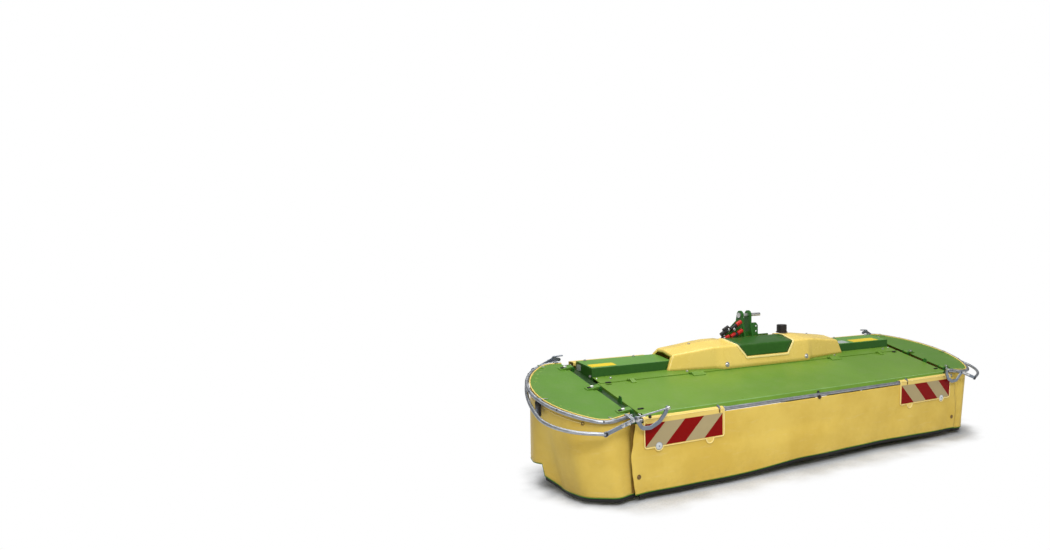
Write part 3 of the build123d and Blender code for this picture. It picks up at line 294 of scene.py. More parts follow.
def make_wear():
    """Steel rubbed bright by earth and crop, with rust left in the hollows."""
    tree, given, ends = effect("rubbed steel", {
        "Steel": hue(0.42, 0.41, 0.4), "Rust": hue(0.17, 0.07, 0.025), "Rusty": ("value", 0.4)},
        dict(COAT, Metal="value"))
    place = given["Place"]
    streaks = cloud(tree, stretched(tree, place, (9.0, 160.0, 160.0)), 1.0, 4.0, 0.6)
    hollows = spread(tree, cloud(tree, place, 21.0, 9.0, 0.72), 0.47, 0.66)
    rust = times(tree, hollows, given["Rusty"])
    bright = mixed(tree, streaks, given["Steel"], (0.6, 0.59, 0.57, 1))
    deliver(tree, ends, Colour=mixed(tree, rust, bright, given["Rust"]),
            Roughness=plus(tree, 0.3, times(tree, rust, 0.55)),
            Metal=less(tree, 0.95, times(tree, rust, 0.9)), Height=streaks)
    return tree


def make_coated_weave():
    """Tarpaulin: a woven carrier that shows faintly through its coat, with slow stains and scuffs."""
    tree, given, ends = effect("coated weave", {
        "Cut": ("vector", None), "Colour": hue(0.7, 0.5, 0.13),
        "Deep": hue(0.6, 0.4, 0.08), "Thread": ("value", 0.0022)}, COAT)
    cut = split(tree, given["Cut"])
    turn = calc(tree, "DIVIDE", math.pi, given["Thread"])
    weave = times(tree, *(calc(tree, "SINE", times(tree, cut[axis], turn)) for axis in "XY"))
    stain = spread(tree, cloud(tree, given["Place"], 3.1, 5.0, 0.62), 0.3, 0.72)
    level = stretched(tree, given["Place"], (3.0, 3.0, 16.0))
    scuff = spread(tree, cloud(tree, level, 2.0, 7.0, 0.7), 0.52, 0.75)
    tone = calc(tree, "ADD", stain, times(tree, weave, 0.06), clamp=True)
    colour = mixed(tree, tone, given["Deep"], given["Colour"])
    colour = mixed(tree, times(tree, scuff, 0.16), colour, (0.8, 0.68, 0.4, 1))
    deliver(tree, ends, Colour=colour, Roughness=plus(tree, 0.42, times(tree, scuff, 0.2)),
            Height=plus(tree, times(tree, weave, 0.5), cloud(tree, given["Place"], 60.0, 4.0)))
    return tree


def make_moulded_grain():
    """Moulded plastic or rubber: fine even grain with a slow change of shade."""
    tree, given, ends = effect("moulded grain", {
        "Colour": hue(0.5, 0.5, 0.5), "Shade": hue(0.4, 0.4, 0.4),
        "Grain": ("value", 700.0), "Gloss": ("value", 0.4)}, COAT)
    place = given["Place"]
    slow = spread(tree, cloud(tree, place, 2.6, 3.0), 0.32, 0.68)
    grain = cloud(tree, place, given["Grain"], 2.0)
    smear = spread(tree, cloud(tree, place, 12.0, 6.0, 0.66), 0.45, 0.75)
    deliver(tree, ends, Colour=mixed(tree, slow, given["Shade"], given["Colour"]),
            Roughness=plus(tree, given["Gloss"], times(tree, smear, 0.13)), Height=grain)
    return tree


def make_hazard_bars():
    """Slanting red and pale bars that fall outwards on both boards."""
    tree, given, ends = effect("hazard bars", {
        "Outer Edge": ("value", sheets_high.x), "Top": ("value", sheets_high.z),
        "Bar": ("value", sheets_high.z - sheets_low.z)}, {"Red": "value", "Height": "value"})
    way = split(tree, given["Place"])
    inwards = less(tree, given["Outer Edge"], calc(tree, "ABSOLUTE", way["X"]))
    down = less(tree, given["Top"], way["Z"])
    bars = calc(tree, "DIVIDE", plus(tree, inwards, down), given["Bar"])
    odd = calc(tree, "MODULO", calc(tree, "FLOOR", bars), 2.0)
    cells = put(tree, "ShaderNodeTexVoronoi", {"Vector": given["Place"], "Scale": 260.0},
                feature="DISTANCE_TO_EDGE").outputs["Distance"]
    deliver(tree, ends, Red=less(tree, 1.0, odd), Height=spread(tree, cells, 0.0, 0.12))
    return tree


coat_effect = make_sprayed_coat()
splash_effect = make_splash()
zinc_effect = make_zinc_bloom()
wear_effect = make_wear()
weave_effect = make_coated_weave()
grain_effect = make_moulded_grain()
bars_effect = make_hazard_bars()


# ---------------------------------------------------------------- materials
def start_material(name, **plain):
    """A material with its shader's plain numbers set, and the place that its patterns follow."""
    material = bpy.data.materials.new(name)
    material.use_nodes = True
    tree = material.node_tree
    shader = tree.nodes["Principled BSDF"]
    for socket, value in plain.items():
        shader.inputs[socket.replace("_", " ")].default_value = value
    return material, tree, shader, put(tree, "ShaderNodeTexCoord").outputs["Object"]


def effect_in(tree, group, place, **values):
    """An effect placed in a material with its own values; its colours are given without their alpha."""
    inputs = {name: (*value, 1) if isinstance(value, tuple) else value for name, value in values.items()}
    return put(tree, "ShaderNodeGroup", dict(inputs, Place=place), node_tree=group).outputs


def finish_material(tree, shader, colour, roughness, height, depth, strength):
    """Feeds a material's shader with its colour, its roughness and its relief."""
    tree.links.new(colour, shader.inputs["Base Color"])
    tree.links.new(roughness, shader.inputs["Roughness"])
    bump = put(tree, "ShaderNodeBump", {"Height": height, "Distance": depth, "Strength": strength})
    tree.links.new(bump.outputs["Normal"], shader.inputs["Normal"])


def painted(name, colour, shade, dust, gloss=0.34, splash=0.0):
    """Paint with dust on it and, low on the machine, dirt splashed over it."""
    material, tree, shader, place = start_material(name, Coat_Weight=0.05, Coat_Roughness=0.15, IOR=1.5,
                                                   Specular_IOR_Level=0.22)
    coat = effect_in(tree, coat_effect, place, Colour=colour, Shade=shade, Dust=dust, Gloss=gloss)
    result = coat["Colour"]
    if splash:
        result = effect_in(tree, splash_effect, place, Colour=result, Amount=splash)["Colour"]
    finish_material(tree, shader, result, coat["Roughness"], coat["Height"], 0.0003, 0.25)
    return material


def plated(name, light, dark, crystals, gloss):
    """Zinc on steel, from coarse galvanising to fine plating."""
    material, tree, shader, place = start_material(name, Metallic=0.9)
    zinc = effect_in(tree, zinc_effect, place, Light=light, Dark=dark, Crystals=crystals, Gloss=gloss)
    finish_material(tree, shader, zinc["Colour"], zinc["Roughness"], zinc["Height"], 0.0004, 0.3)
    return material


def rubbed(name, rusty):
    """Bare steel worn by use."""
    material, tree, shader, place = start_material(name)
    steel = effect_in(tree, wear_effect, place, Rusty=rusty)
    finish_material(tree, shader, steel["Colour"], steel["Roughness"], steel["Height"], 0.0004, 0.35)
    tree.links.new(steel["Metal"], shader.inputs["Metallic"])
    return material


def moulded(name, colour, shade, grain, gloss, shine=0.3, depth=0.0002):
    """Plastic, rubber or film with a fine grain."""
    material, tree, shader, place = start_material(name, IOR=1.48, Specular_IOR_Level=shine)
    skin = effect_in(tree, grain_effect, place, Colour=colour, Shade=shade, Grain=grain, Gloss=gloss)
    finish_material(tree, shader, skin["Colour"], skin["Roughness"], skin["Height"], depth, 0.35)
    return material


def curtain_cloth(name, colour, deep):
    """Coated fabric with dirt along its lower part; its weave follows the cloth's own map."""
    material, tree, shader, place = start_material(name, Specular_IOR_Level=0.16, IOR=1.45)
    cut = put(tree, "ShaderNodeUVMap", uv_map="cut").outputs["UV"]
    cloth = effect_in(tree, weave_effect, place, Cut=cut, Colour=colour, Deep=deep)
    soiled = effect_in(tree, splash_effect, place, Colour=cloth["Colour"], Reach=0.2, Amount=0.3,
                       Dirt=(0.3, 0.21, 0.08))
    finish_material(tree, shader, soiled["Colour"], cloth["Roughness"], cloth["Height"], 0.0005, 0.5)
    return material


def hazard_film(name, pale, pale_shade, red):
    """Reflecting film with red bars on a pale ground."""
    material, tree, shader, place = start_material(name, Coat_Weight=0.06, Coat_Roughness=0.2,
                                                   Specular_IOR_Level=0.06)
    bars = effect_in(tree, bars_effect, place)
    skin = effect_in(tree, grain_effect, place, Colour=pale, Shade=pale_shade, Gloss=0.32)
    colour = mixed(tree, bars["Red"], skin["Colour"], (*red, 1))
    finish_material(tree, shader, colour, skin["Roughness"], bars["Height"], 0.0002, 0.4)
    return material


# Every finish by its maker: two colours, then the maker's own numbers.
FINISHES = {
    painted: {
        "green_paint": ((0.142, 0.278, 0.030), (0.118, 0.240, 0.024), 0.05),
        "dark_green_paint": ((0.035, 0.165, 0.022), (0.022, 0.115, 0.014), 0.06, 0.36, 0.35),
        "cast_iron_paint": ((0.05, 0.19, 0.03), (0.03, 0.12, 0.015), 0.2, 0.4, 0.35),
        "cream_paint": ((0.82, 0.62, 0.18), (0.77, 0.56, 0.14), 0.03),
        # A deep green, painted as shade on the beam housings below their lit tops; the hood panel is in it
        # too.
        "deep_green_and_painted_shade": ((0.030, 0.118, 0.013), (0.022, 0.092, 0.010), 0.05),
        "lid_green": ((0.104, 0.245, 0.024), (0.086, 0.210, 0.020), 0.05),
        # A lighter green, painted as light on the beam housings' tops.
        "housing_top_painted_light": ((0.125, 0.300, 0.048), (0.100, 0.255, 0.036), 0.05),
        # A near-black green, painted as the shade in the gap between the side lids and the cover.
        "gutter_painted_shade": ((0.018, 0.058, 0.012), (0.012, 0.040, 0.008), 0.04),
        # A paler green, painted as a highlight along the cover's front lip.
        "lip_painted_highlight": ((0.26, 0.43, 0.16), (0.18, 0.34, 0.09), 0.05),
    },
    moulded: {
        "cream_moulding": ((0.83, 0.615, 0.150), (0.79, 0.57, 0.12), 500.0, 0.24, 0.5),
        "black_plastic": ((0.024, 0.022, 0.021), (0.016, 0.015, 0.015), 380.0, 0.42),
        "black_rubber": ((0.022, 0.022, 0.022), (0.014, 0.014, 0.014), 240.0, 0.55),
        "red_plastic": ((0.55, 0.02, 0.015), (0.40, 0.012, 0.01), 500.0, 0.28),
        # A paler cream, painted as a highlight on the panel's frame and the board rims; the pull lines are in
        # it too.
        "pale_cream_and_highlight": ((0.92, 0.75, 0.30), (0.88, 0.70, 0.25), 500.0, 0.22, 0.5),
        # A dark brown, painted as the shade in the gaps at the front curtain's ends.
        "fold_shade": ((0.22, 0.13, 0.02), (0.16, 0.09, 0.015), 400.0, 0.6),
        "hem_green": ((0.06, 0.22, 0.02), (0.04, 0.15, 0.015), 500.0, 0.4),
        "label_yellow": ((0.80, 0.60, 0.01), (0.74, 0.54, 0.01), 600.0, 0.32),
        "label_grey": ((0.42, 0.46, 0.42), (0.35, 0.39, 0.36), 600.0, 0.35),
        "reflector_lens": ((0.70, 0.72, 0.70), (0.58, 0.60, 0.60), 300.0, 0.16, 0.3, 0.0006),
        "cap_brown": ((0.055, 0.035, 0.028), (0.04, 0.025, 0.02), 300.0, 0.38),
    },
    plated: {
        "galvanised_steel": ((0.47, 0.49, 0.52), (0.30, 0.32, 0.35), 60.0, 0.38),
        "zinc_plate": ((0.74, 0.74, 0.72), (0.52, 0.52, 0.52), 200.0, 0.26),
        "lever_steel": ((0.30, 0.34, 0.39), (0.19, 0.22, 0.27), 40.0, 0.45),
        "eyelet_brass": ((0.30, 0.19, 0.08), (0.17, 0.10, 0.04), 200.0, 0.4),
    },
    rubbed: {"bare_steel": (0.55,)},
    curtain_cloth: {"cream_fabric": ((0.775, 0.560, 0.118), (0.675, 0.460, 0.080))},
    hazard_film: {"hazard_film": ((0.46, 0.37, 0.19), (0.40, 0.32, 0.17), (0.235, 0.002, 0.001))},
}
finishes = {name: maker(name, *values) for maker, table in FINISHES.items() for name, values in table.items()}

# The beam housings take the deep green as painted shade; their upward faces later take a lighter green as
# painted light.
for name, piece in nodes.items():
    own_finish = "deep_green_and_painted_shade" if name in ("beam_housings", "hood_panel") else slots[name]
    piece.data.materials.clear()
    piece.data.materials.append(finishes[own_finish])


# ---------------------------------------------------------------- faces with a second finish
def refinish(name, finish, picks=lambda face: True):
    """Gives the faces of a node that picks chooses a second finish."""
    mesh = nodes[name].data
    mesh.materials.append(finishes[finish])
    for face in mesh.polygons:
        if picks(face):
            face.material_index = len(mesh.materials) - 1


def run_of(point):
    """How far up the cover's slope a point is."""
    return (point - at(0, 0, cover_foot_z)).dot(up_slope)


def refinish_guard(word):
    """Paint on the rail where the lid lies on it, and steel on the bow's lever plates."""
    lid_shape = shape_of("side_lid_" + word)
    lid_reach = 0.014
    plates, half_plate = (-0.046, 1.034), 0.0046
    refinish("guard_rail_" + word, "green_paint",
             lambda face: lid_shape.ray_cast(face.center, -off_slope, lid_reach)[0] is not None)
    refinish("guard_bow_" + word, "lever_steel",
             lambda face: any(abs(run_of(face.center) - plate) < half_plate for plate in plates))
    refinish("side_lid_" + word, "lid_green")


for _, word in SIDES:
    refinish_guard(word)
# The side arms' upward faces, seen through the gap between lid and cover, are painted near-black as shade.
refinish("side_arms", "gutter_painted_shade", lambda face: face.normal.z > 0.9)
# The cover's front lip, where it looks up, is painted paler as a highlight.
refinish("centre_cover", "lip_painted_highlight", lambda face: run_of(face.center) < 0.056 and face.normal.z > 0.2)
# The beam housings' upward faces take a lighter green: painted light on their tops.
refinish("beam_housings", "housing_top_painted_light", lambda face: face.normal.z > 0.9)
cap_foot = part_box("vent_cap")[0].z + 0.0055
refinish("vent_cap", "cap_brown", lambda face: face.center.z < cap_foot)


# ---------------------------------------------------------------- shapes grown by node trees
def start_shape(name, **takes):
    """A geometry tree that takes seeds, a finish and the given sizes."""
    everything = {"Geometry": ("shape", None), "Finish": ("finish", None)}
    everything.update({label: ("value", value) for label, value in takes.items()})
    return tree_with("GeometryNodeTree", name, everything, {"Geometry": "shape"})


def raised(tree, shape, height):
    """A shape moved up its own axis."""
    lift = put(tree, "ShaderNodeCombineXYZ", {"Z": height}).outputs[0]
    return put(tree, "GeometryNodeTransform", {"Geometry": shape, "Translation": lift}).outputs[0]


def drum(tree, sides, radius, depth):
    """A plain cylinder about its own axis."""
    inputs = {"Vertices": sides, "Radius": radius, "Depth": depth}
    return put(tree, "GeometryNodeMeshCylinder", inputs).outputs[0]


def circle(tree, steps, radius):
    return put(tree, "GeometryNodeCurvePrimitiveCircle", {"Resolution": steps, "Radius": radius}).outputs[0]


def swept(tree, line, radius, caps=False):
    """A round wire along a curve."""
    inputs = {"Curve": line, "Profile Curve": circle(tree, 8, radius), "Fill Caps": caps}
    return put(tree, "GeometryNodeCurveToMesh", inputs).outputs[0]


def repeated(tree, points, shape, facing):
    """A shape on every point, with its own axis turned to a direction."""
    turn = put(tree, "FunctionNodeAlignRotationToVector", {"Vector": facing}, axis="Z").outputs[0]
    inputs = {"Points": points, "Instance": shape, "Rotation": turn}
    return put(tree, "GeometryNodeInstanceOnPoints", inputs).outputs[0]


def end_shape(tree, given, ends, shape):
    """Ends a tree with its shape as real geometry in its finish."""
    solid = put(tree, "GeometryNodeRealizeInstances", {"Geometry": shape}).outputs[0]
    done = put(tree, "GeometryNodeSetMaterial", {"Geometry": solid, "Material": given["Finish"]})
    tree.links.new(done.outputs[0], ends["Geometry"])
    return tree


def stand_on_seeds(tree, given, ends, *shapes):
    """Puts the joined shapes on every seed point, turned to the seed's own direction."""
    whole = put(tree, "GeometryNodeJoinGeometry")
    for shape in reversed(shapes):
        tree.links.new(shape, whole.inputs[0])
    facing = put(tree, "GeometryNodeInputNamedAttribute", {"Name": "facing"}, data_type="FLOAT_VECTOR")
    many = repeated(tree, given["Geometry"], whole.outputs[0], facing.outputs[0])
    return end_shape(tree, given, ends, many)


def make_bolt_tree():
    """Hexagon head with a crowned top on a round washer."""
    tree, given, ends = start_shape("hexagon bolt", Across=0.017, Head=0.007, Washer=0.015, Plate=0.002)
    across, plate, head = given["Across"], given["Plate"], given["Head"]
    half_plate = times(tree, plate, 0.5)
    washer = raised(tree, drum(tree, 20, given["Washer"], plate), half_plate)
    hexagon = drum(tree, 6, times(tree, across, 0.577), head)       # from flat to flat into a corner radius
    hexagon = raised(tree, hexagon, plus(tree, plate, times(tree, head, 0.5)))
    crown = put(tree, "GeometryNodeMeshCone", {
        "Vertices": 18, "Radius Bottom": times(tree, across, 0.48),
        "Radius Top": times(tree, across, 0.36), "Depth": half_plate}).outputs[0]
    return stand_on_seeds(tree, given, ends, washer, hexagon, raised(tree, crown, plus(tree, plate, head)))


def make_dome_tree():
    """Low round head: rivets, pressed dimples and lenses."""
    tree, given, ends = start_shape("round head", Radius=0.01, Rise=0.004)
    ball = put(tree, "GeometryNodeMeshUVSphere", {"Segments": 18, "Rings": 8, "Radius": 1.0}).outputs[0]
    size = put(tree, "ShaderNodeCombineXYZ", {"X": given["Radius"], "Y": given["Radius"], "Z": given["Rise"]})
    flat = put(tree, "GeometryNodeTransform", {"Geometry": ball, "Scale": size.outputs[0]}).outputs[0]
    return stand_on_seeds(tree, given, ends, flat)


def make_ring_tree():
    """Turned ring: eyelets, collars and lens rims."""
    tree, given, ends = start_shape("turned ring", Radius=0.012, Wire=0.003)
    return stand_on_seeds(tree, given, ends, swept(tree, circle(tree, 28, given["Radius"]), given["Wire"]))


def make_drum_tree():
    """Plain turned drum with a slightly smaller step at both ends: sleeves, caps and pins."""
    tree, given, ends = start_shape("turned drum", Radius=0.012, Length=0.02)
    radius, length = given["Radius"], given["Length"]
    steps = drum(tree, 24, times(tree, radius, 0.9), plus(tree, length, times(tree, radius, 0.12)))
    return stand_on_seeds(tree, given, ends, drum(tree, 24, radius, length), steps)


def make_strand_tree():
    """Round strand along a line of edges: welts, piping, pull lines and rims."""
    tree, given, ends = start_shape("round strand", Radius=0.003)
    line = put(tree, "GeometryNodeMeshToCurve", {"Mesh": given["Geometry"]}).outputs[0]
    return end_shape(tree, given, ends, swept(tree, line, given["Radius"], True))


def make_stitch_tree():
    """Stitches laid end to end along a line, each a short thread."""
    tree, given, ends = start_shape("stitches", Pitch=0.009, Thread=0.0009)
    line = put(tree, "GeometryNodeMeshToCurve", {"Mesh": given["Geometry"]}).outputs[0]
    spaced = put(tree, "GeometryNodeResampleCurve", {"Curve": line, "Length": given["Pitch"]}, mode="LENGTH")
    thread = drum(tree, 5, given["Thread"], times(tree, given["Pitch"], 0.68))
    tangent = put(tree, "GeometryNodeInputTangent").outputs[0]
    return end_shape(tree, given, ends, repeated(tree, spaced.outputs[0], thread, tangent))


bolt_tree = make_bolt_tree()
dome_tree = make_dome_tree()
ring_tree = make_ring_tree()
drum_tree = make_drum_tree()
strand_tree = make_strand_tree()
stitch_tree = make_stitch_tree()


def settle(piece, body):
    """Puts a finished piece on its body."""
    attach(piece, body)
    return piece


def grow(name, seed, tree, body, slot_name, finish=None, **sizes):
    """Grows a piece from a seed mesh, as a plain mesh on a body, in its slot's finish or in another."""
    piece = new_piece(name, seed)
    grower = piece.modifiers.new("grower", "NODES")
    grower.node_group = tree
    values = dict(sizes, Finish=finishes[finish or slot_name])
    for socket in tree.interface.items_tree:
        if socket.in_out == "INPUT" and socket.name in values:
            grower[socket.identifier] = values[socket.name]
    shaped = bpy.data.meshes.new_from_object(piece.evaluated_get(bpy.context.evaluated_depsgraph_get()))
    piece.modifiers.clear()
    piece.data = shaped
    shaped.name = name
    shaped.shade_smooth()
    shaped.set_sharp_from_angle(angle=math.radians(35))
    return settle(piece, body)


def seeds(places):
    """Seed points, each with the direction its part stands up in."""
    mesh = bpy.data.meshes.new("seeds")
    mesh.from_pydata([place for place, _ in places], [], [])
    facing = mesh.attributes.new("facing", "FLOAT_VECTOR", "POINT")
    for number, (_, way) in enumerate(places):
        facing.data[number].vector = way
    return mesh


def line_mesh(*lines):
    """Seed lines, each a run of points joined by edges."""
    points, edges = [], []
    for line in lines:
        start = len(points)
        points += line
        edges += [(start + n, start + n + 1) for n in range(len(line) - 1)]
    mesh = bpy.data.meshes.new("line")
    mesh.from_pydata(points, edges, [])
    return mesh


def mesh_of(name, shape, finish, sharp_from):
    """The mesh of a worked shape, smooth but for edges sharper than an angle."""
    mesh = bpy.data.meshes.new(name)
    shape.to_mesh(mesh)
    shape.free()
    mesh.materials.append(finishes[finish])
    mesh.shade_smooth()
    mesh.set_sharp_from_angle(angle=math.radians(sharp_from))
    return mesh


def slab(name, body, slot_name, middle, across, along, size, round_by=0.001, finish=None):
    """A plate with rounded edges: its middle, the directions of its length and width, and three sizes."""
    shape = bmesh.new()
    bmesh.ops.create_cube(shape, size=1)
    bmesh.ops.scale(shape, vec=size, verts=shape.verts)

    def rise(edge):
        return abs((edge.verts[0].co - edge.verts[1].co).z)

    upright = [edge for edge in shape.edges if rise(edge) > size[2] * 0.9]
    corner = min(0.004, min(size[0], size[1]) * 0.3)
    bmesh.ops.bevel(shape, geom=upright, offset=corner, segments=3, affect="EDGES")
    level = [edge for edge in shape.edges if rise(edge) < 1e-6]
    bmesh.ops.bevel(shape, geom=level, offset=min(round_by, size[2] * 0.4), segments=2, affect="EDGES")
    across, along = across.normalized(), along.normalized()
    turn = Matrix((across, along, across.cross(along))).transposed().to_4x4()
    bmesh.ops.transform(shape, matrix=Matrix.Translation(middle) @ turn, verts=shape.verts)
    return settle(new_piece(name, mesh_of(name, shape, finish or slot_name, 35)), body)


# ---------------------------------------------------------------- hydraulic hoses
hose_setback = 0.800                                 # in line with the couplers' tails
hoses = {
    "hydraulic_hose_1": [(-0.1710, 0.8913), (-0.2455, 0.8533), (-0.278, 0.778), (-0.278, 0.716)],
    "hydraulic_hose_2": [(-0.1600, 0.8273), (-0.2087, 0.8024), (-0.232, 0.762), (-0.232, 0.716)],
}
for name, route in hoses.items():
    curve = bpy.data.curves.new(name, "CURVE")
    curve.dimensions = "3D"
    curve.bevel_depth = 0.006
    curve.bevel_resolution = 5
    curve.use_fill_caps = True
    strand = curve.splines.new("NURBS")
    strand.points.add(len(route) - 1)
    for point, (x, z) in zip(strand.points, route):
        point.co = (*at(x, hose_setback, z), 1)
    strand.order_u = 3
    strand.use_endpoint_u = True
    strand.resolution_u = 24
    curve.materials.append(finishes["black_rubber"])
    hose = new_piece(name + "_cord", curve)
    reach = length_of([Vector(point) for point in route])
    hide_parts(name)
    settle(hose, "frame")


# ---------------------------------------------------------------- curtains
def guard_line(line, inset, count):
    """Evenly spaced points along a guard line, set in from it."""
    def ahead(angle):
        return Vector((math.cos(angle), math.sin(angle)))

    def inwards(angle):
        return Vector((-math.sin(angle), math.cos(angle)))

    angle = math.radians(line["heading"])
    here = Vector(line["start"]) + inwards(angle) * inset
    points = [here + ahead(angle) * line["first"] * n / 20 for n in range(21)]
    for radius, turn in line["bends"]:
        radius, turn = radius - inset, math.radians(turn)
        centre = points[-1] + inwards(angle) * radius
        points += [centre - inwards(angle + turn * n / 80) * radius for n in range(1, 81)]
        angle += turn
    here = points[-1]
    points += [here + ahead(angle) * line["last"] * n / 10 for n in range(1, 11)]
    return even(points, count)


def even(points, count):
    """The same line with its points moved to even distances."""
    reached = distances(points)
    result, k = [], 0
    for n in range(count):
        want = reached[-1] * n / (count - 1)
        while k < len(points) - 2 and reached[k + 1] < want:
            k += 1
        gap = reached[k + 1] - reached[k]
        result.append(points[k].lerp(points[k + 1], (want - reached[k]) / gap if gap else 0))
    return result


# Plans of a guard's rail and of its curtain's hem from front to rear: bends as radius and turn in degrees.
rail_line = {"start": (0.044, 0.0604), "heading": -17.2, "first": 0.1267, "last": 0.0419,
             "bends": [(0.122, 65.6), (0.629, 48.8), (0.633, 45.1), (0.161, 45.8)]}
hem_line = {"start": (0.026, 0.050), "heading": -20.0, "first": 0.1078, "last": 0.0494,
            "bends": [(0.075, 59.7), (0.300, 44.1), (1.465, 24.6), (0.136, 79.5)]}
cloth_thickness = 0.0034


def sway(share, drop, phase):
    """Slow folds of a hanging sheet, from -1 to 1, growing down from its held edge."""
    wave = (0.50 * math.sin(math.tau * (1.35 * share + 0.10 * drop) + phase)
            + 0.30 * math.sin(math.tau * (3.1 * share - 0.22 * drop) + 1.7 * phase + 0.6)
            + 0.20 * math.sin(math.tau * (7.3 * share + 0.35 * drop) + 2.3 * phase + 2.1))
    return wave * min(1.0, drop * 2.6)


def cloth_piece(name, rows, body):
    """A sheet through rows of points, from its held edge down to its hem, with its thickness."""
    tall, wide = len(rows), len(rows[0])
    mesh = bpy.data.meshes.new(name)
    mesh.from_pydata([p for row in rows for p in row], [], grid_faces(tall, wide))
    across = distances(rows[0])
    cut = mesh.uv_layers.new(name="cut")
    for loop in mesh.loops:
        r, c = divmod(loop.vertex_index, wide)
        cut.data[loop.index].uv = (across[c], (rows[0][c] - rows[r][c]).length)
    mesh.materials.append(finishes["cream_fabric"])
    mesh.shade_smooth()
    piece = new_piece(name, mesh)
    thick = piece.modifiers.new("thickness", "SOLIDIFY")
    thick.thickness = cloth_thickness
    thick.offset = 0
    thick.use_even_offset = True
    return settle(piece, body)


def hem_and_stitches(name, hem, inner, body):
    """Green piping along a hem and a row of stitches above it."""
    piping = grow(name + "_hem", line_mesh(hem), strand_tree, body, "dark_green_paint", "hem_green",
                  Radius=0.0034)
    stitches = grow(name + "_stitches", line_mesh(inner), stitch_tree, body, "cream_fabric",
                    Pitch=0.010, Thread=0.0008)
    cut = stitches.data.uv_layers.new(name="cut")
    for loop in stitches.data.loops:
        spot = stitches.data.vertices[loop.vertex_index].co
        cut.data[loop.index].uv = (spot.x, spot.z)
    return [piping, stitches]


def mesh_piece(name, points, faces, body, slot_name, wall=0.0, finish=None):
    """A plain mesh with an even wall grown inwards where it has one."""
    shape = bmesh.new()
    corners = [shape.verts.new(p) for p in points]
    for face in faces:
        shape.faces.new([corners[n] for n in face])
    bmesh.ops.delete(shape, geom=[v for v in shape.verts if not v.link_faces], context="VERTS")
    bmesh.ops.remove_doubles(shape, verts=shape.verts, dist=1e-5)
    bmesh.ops.recalc_face_normals(shape, faces=shape.faces)
    piece = new_piece(name, mesh_of(name, shape, finish or slot_name, 38))
    if wall:
        thick = piece.modifiers.new("wall", "SOLIDIFY")
        thick.thickness = wall
        thick.offset = -1
    return settle(piece, body)


def hem_strip(name, hem, inwards, body):
    """Black strip that hangs just behind a hem and below it, a dark band under the hem."""
    heights, behind, wall = (0.006, -0.010, -0.026), 0.0060, 0.0030
    points = [p + way * behind + UP * up for up in heights for p, way in zip(hem, inwards)]
    return mesh_piece(name, points, grid_faces(len(heights), len(hem)), body, "black_rubber", wall)


def front_edge(height):
    """Half width of the front curtain at a height; the free corners belly out below the boards."""
    outline = [(0.052, 1.472), (0.127, 1.482), (0.19, 1.490), (0.281, 1.494), (0.367, 1.478), (0.477, 1.462)]
    for (low, a), (high, b) in zip(outline, outline[1:]):
        if height <= high:
            return a + (b - a) * smooth(height, low, high)
    return outline[-1][1]


def make_front_curtain():
    """The curtain below the boards. Gives its surface, for the eyelets."""
    low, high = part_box("front_curtain")
    middle = (low.y + high.y) / 2 - boards_front
    columns, tall = 260, 44
    rows = []
    for r in range(tall):
        drop = r / (tall - 1)
        row = []
        for c in range(columns):
            share = c / (columns - 1) * 2 - 1
            hem_rise = 0.024 * smooth(share, -0.45, -0.10) * (1 - 0.4 * smooth(share, 0.5, 0.9))
            z = high.z + (low.z + hem_rise - high.z) * drop
            free = smooth(0.32 - z, 0.0, 0.12)        # the boards hold it flat above this
            wave = sway(share * 0.5 + 0.5, drop, 0.9)
            corner = smooth(abs(share), 0.93, 1.0)
            setback = middle + 0.004 * abs(wave) + free * (0.013 * wave - 0.006) - 0.008 * corner * free
            row.append(at(share * front_edge(z), setback, z))
        rows.append(row)
    piece = cloth_piece("front_curtain_cloth", rows, "frame")
    trim = hem_and_stitches("front_curtain", rows[-1], [p + OUT_FRONT * 0.0022 for p in rows[-4]], "frame")
    trim.append(hem_strip("front_curtain_strip", rows[-1][3:-3], [AFT] * (columns - 6), "frame"))
    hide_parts("front_curtain")
    return BVHTree.FromPolygons([p for row in rows for p in row], grid_faces(tall, columns))


def side_curtain_rows(side, count, tall):
    """Points of a side curtain from its rail to its stepped hem, which is higher over the rear half."""
    ground = 0.05
    tops = [on_guard(side, p.x, p.y, -0.001) for p in guard_line(rail_line, 0.0205, count)]
    feet = [at(side * (guard_inner + p.x), p.y, ground) for p in guard_line(hem_line, 0.002, count)]
    rows = [[] for _ in range(tall)]
    for c, (top, foot) in enumerate(zip(tops, feet)):
        share = c / (count - 1)
        setback = top.y - boards_front                # the rear half hangs straight down from the rail
        plumb = smooth(setback, 0.40, 0.60) * (1 - smooth(share, 0.86, 0.96))
        foot = foot.lerp(Vector((top.x + side * 0.014, top.y, ground)), plumb)
        setback = foot.y - boards_front
        hem = 0.052 + 0.071 * max(0.0, min(1.0, (setback - 0.385) / 0.11)) if setback <= 0.495 else 0.195
        tangent = way_at(tops, c)
        outwards = Vector((tangent.y, -tangent.x, 0)).normalized() * side
        belly = 0.030 * smooth(share, 0.14, 0.30) * (1 - smooth(share, 0.42, 0.60))
        for r in range(tall):
            drop = r / (tall - 1)
            z = top.z + (hem - top.z) * drop
            fall = (top.z - z) / (top.z - ground)
            place = top.lerp(foot, fall)
            bulge = belly * math.sin(math.pi * min(1.0, fall * 0.62 + 0.02)) * smooth(fall, -0.05, 0.25)
            place += outwards * (bulge + 0.007 * sway(share, drop, 2.2 + side * 0.4))
            rows[r].append(Vector((place.x, place.y, z)))
    return tops, rows


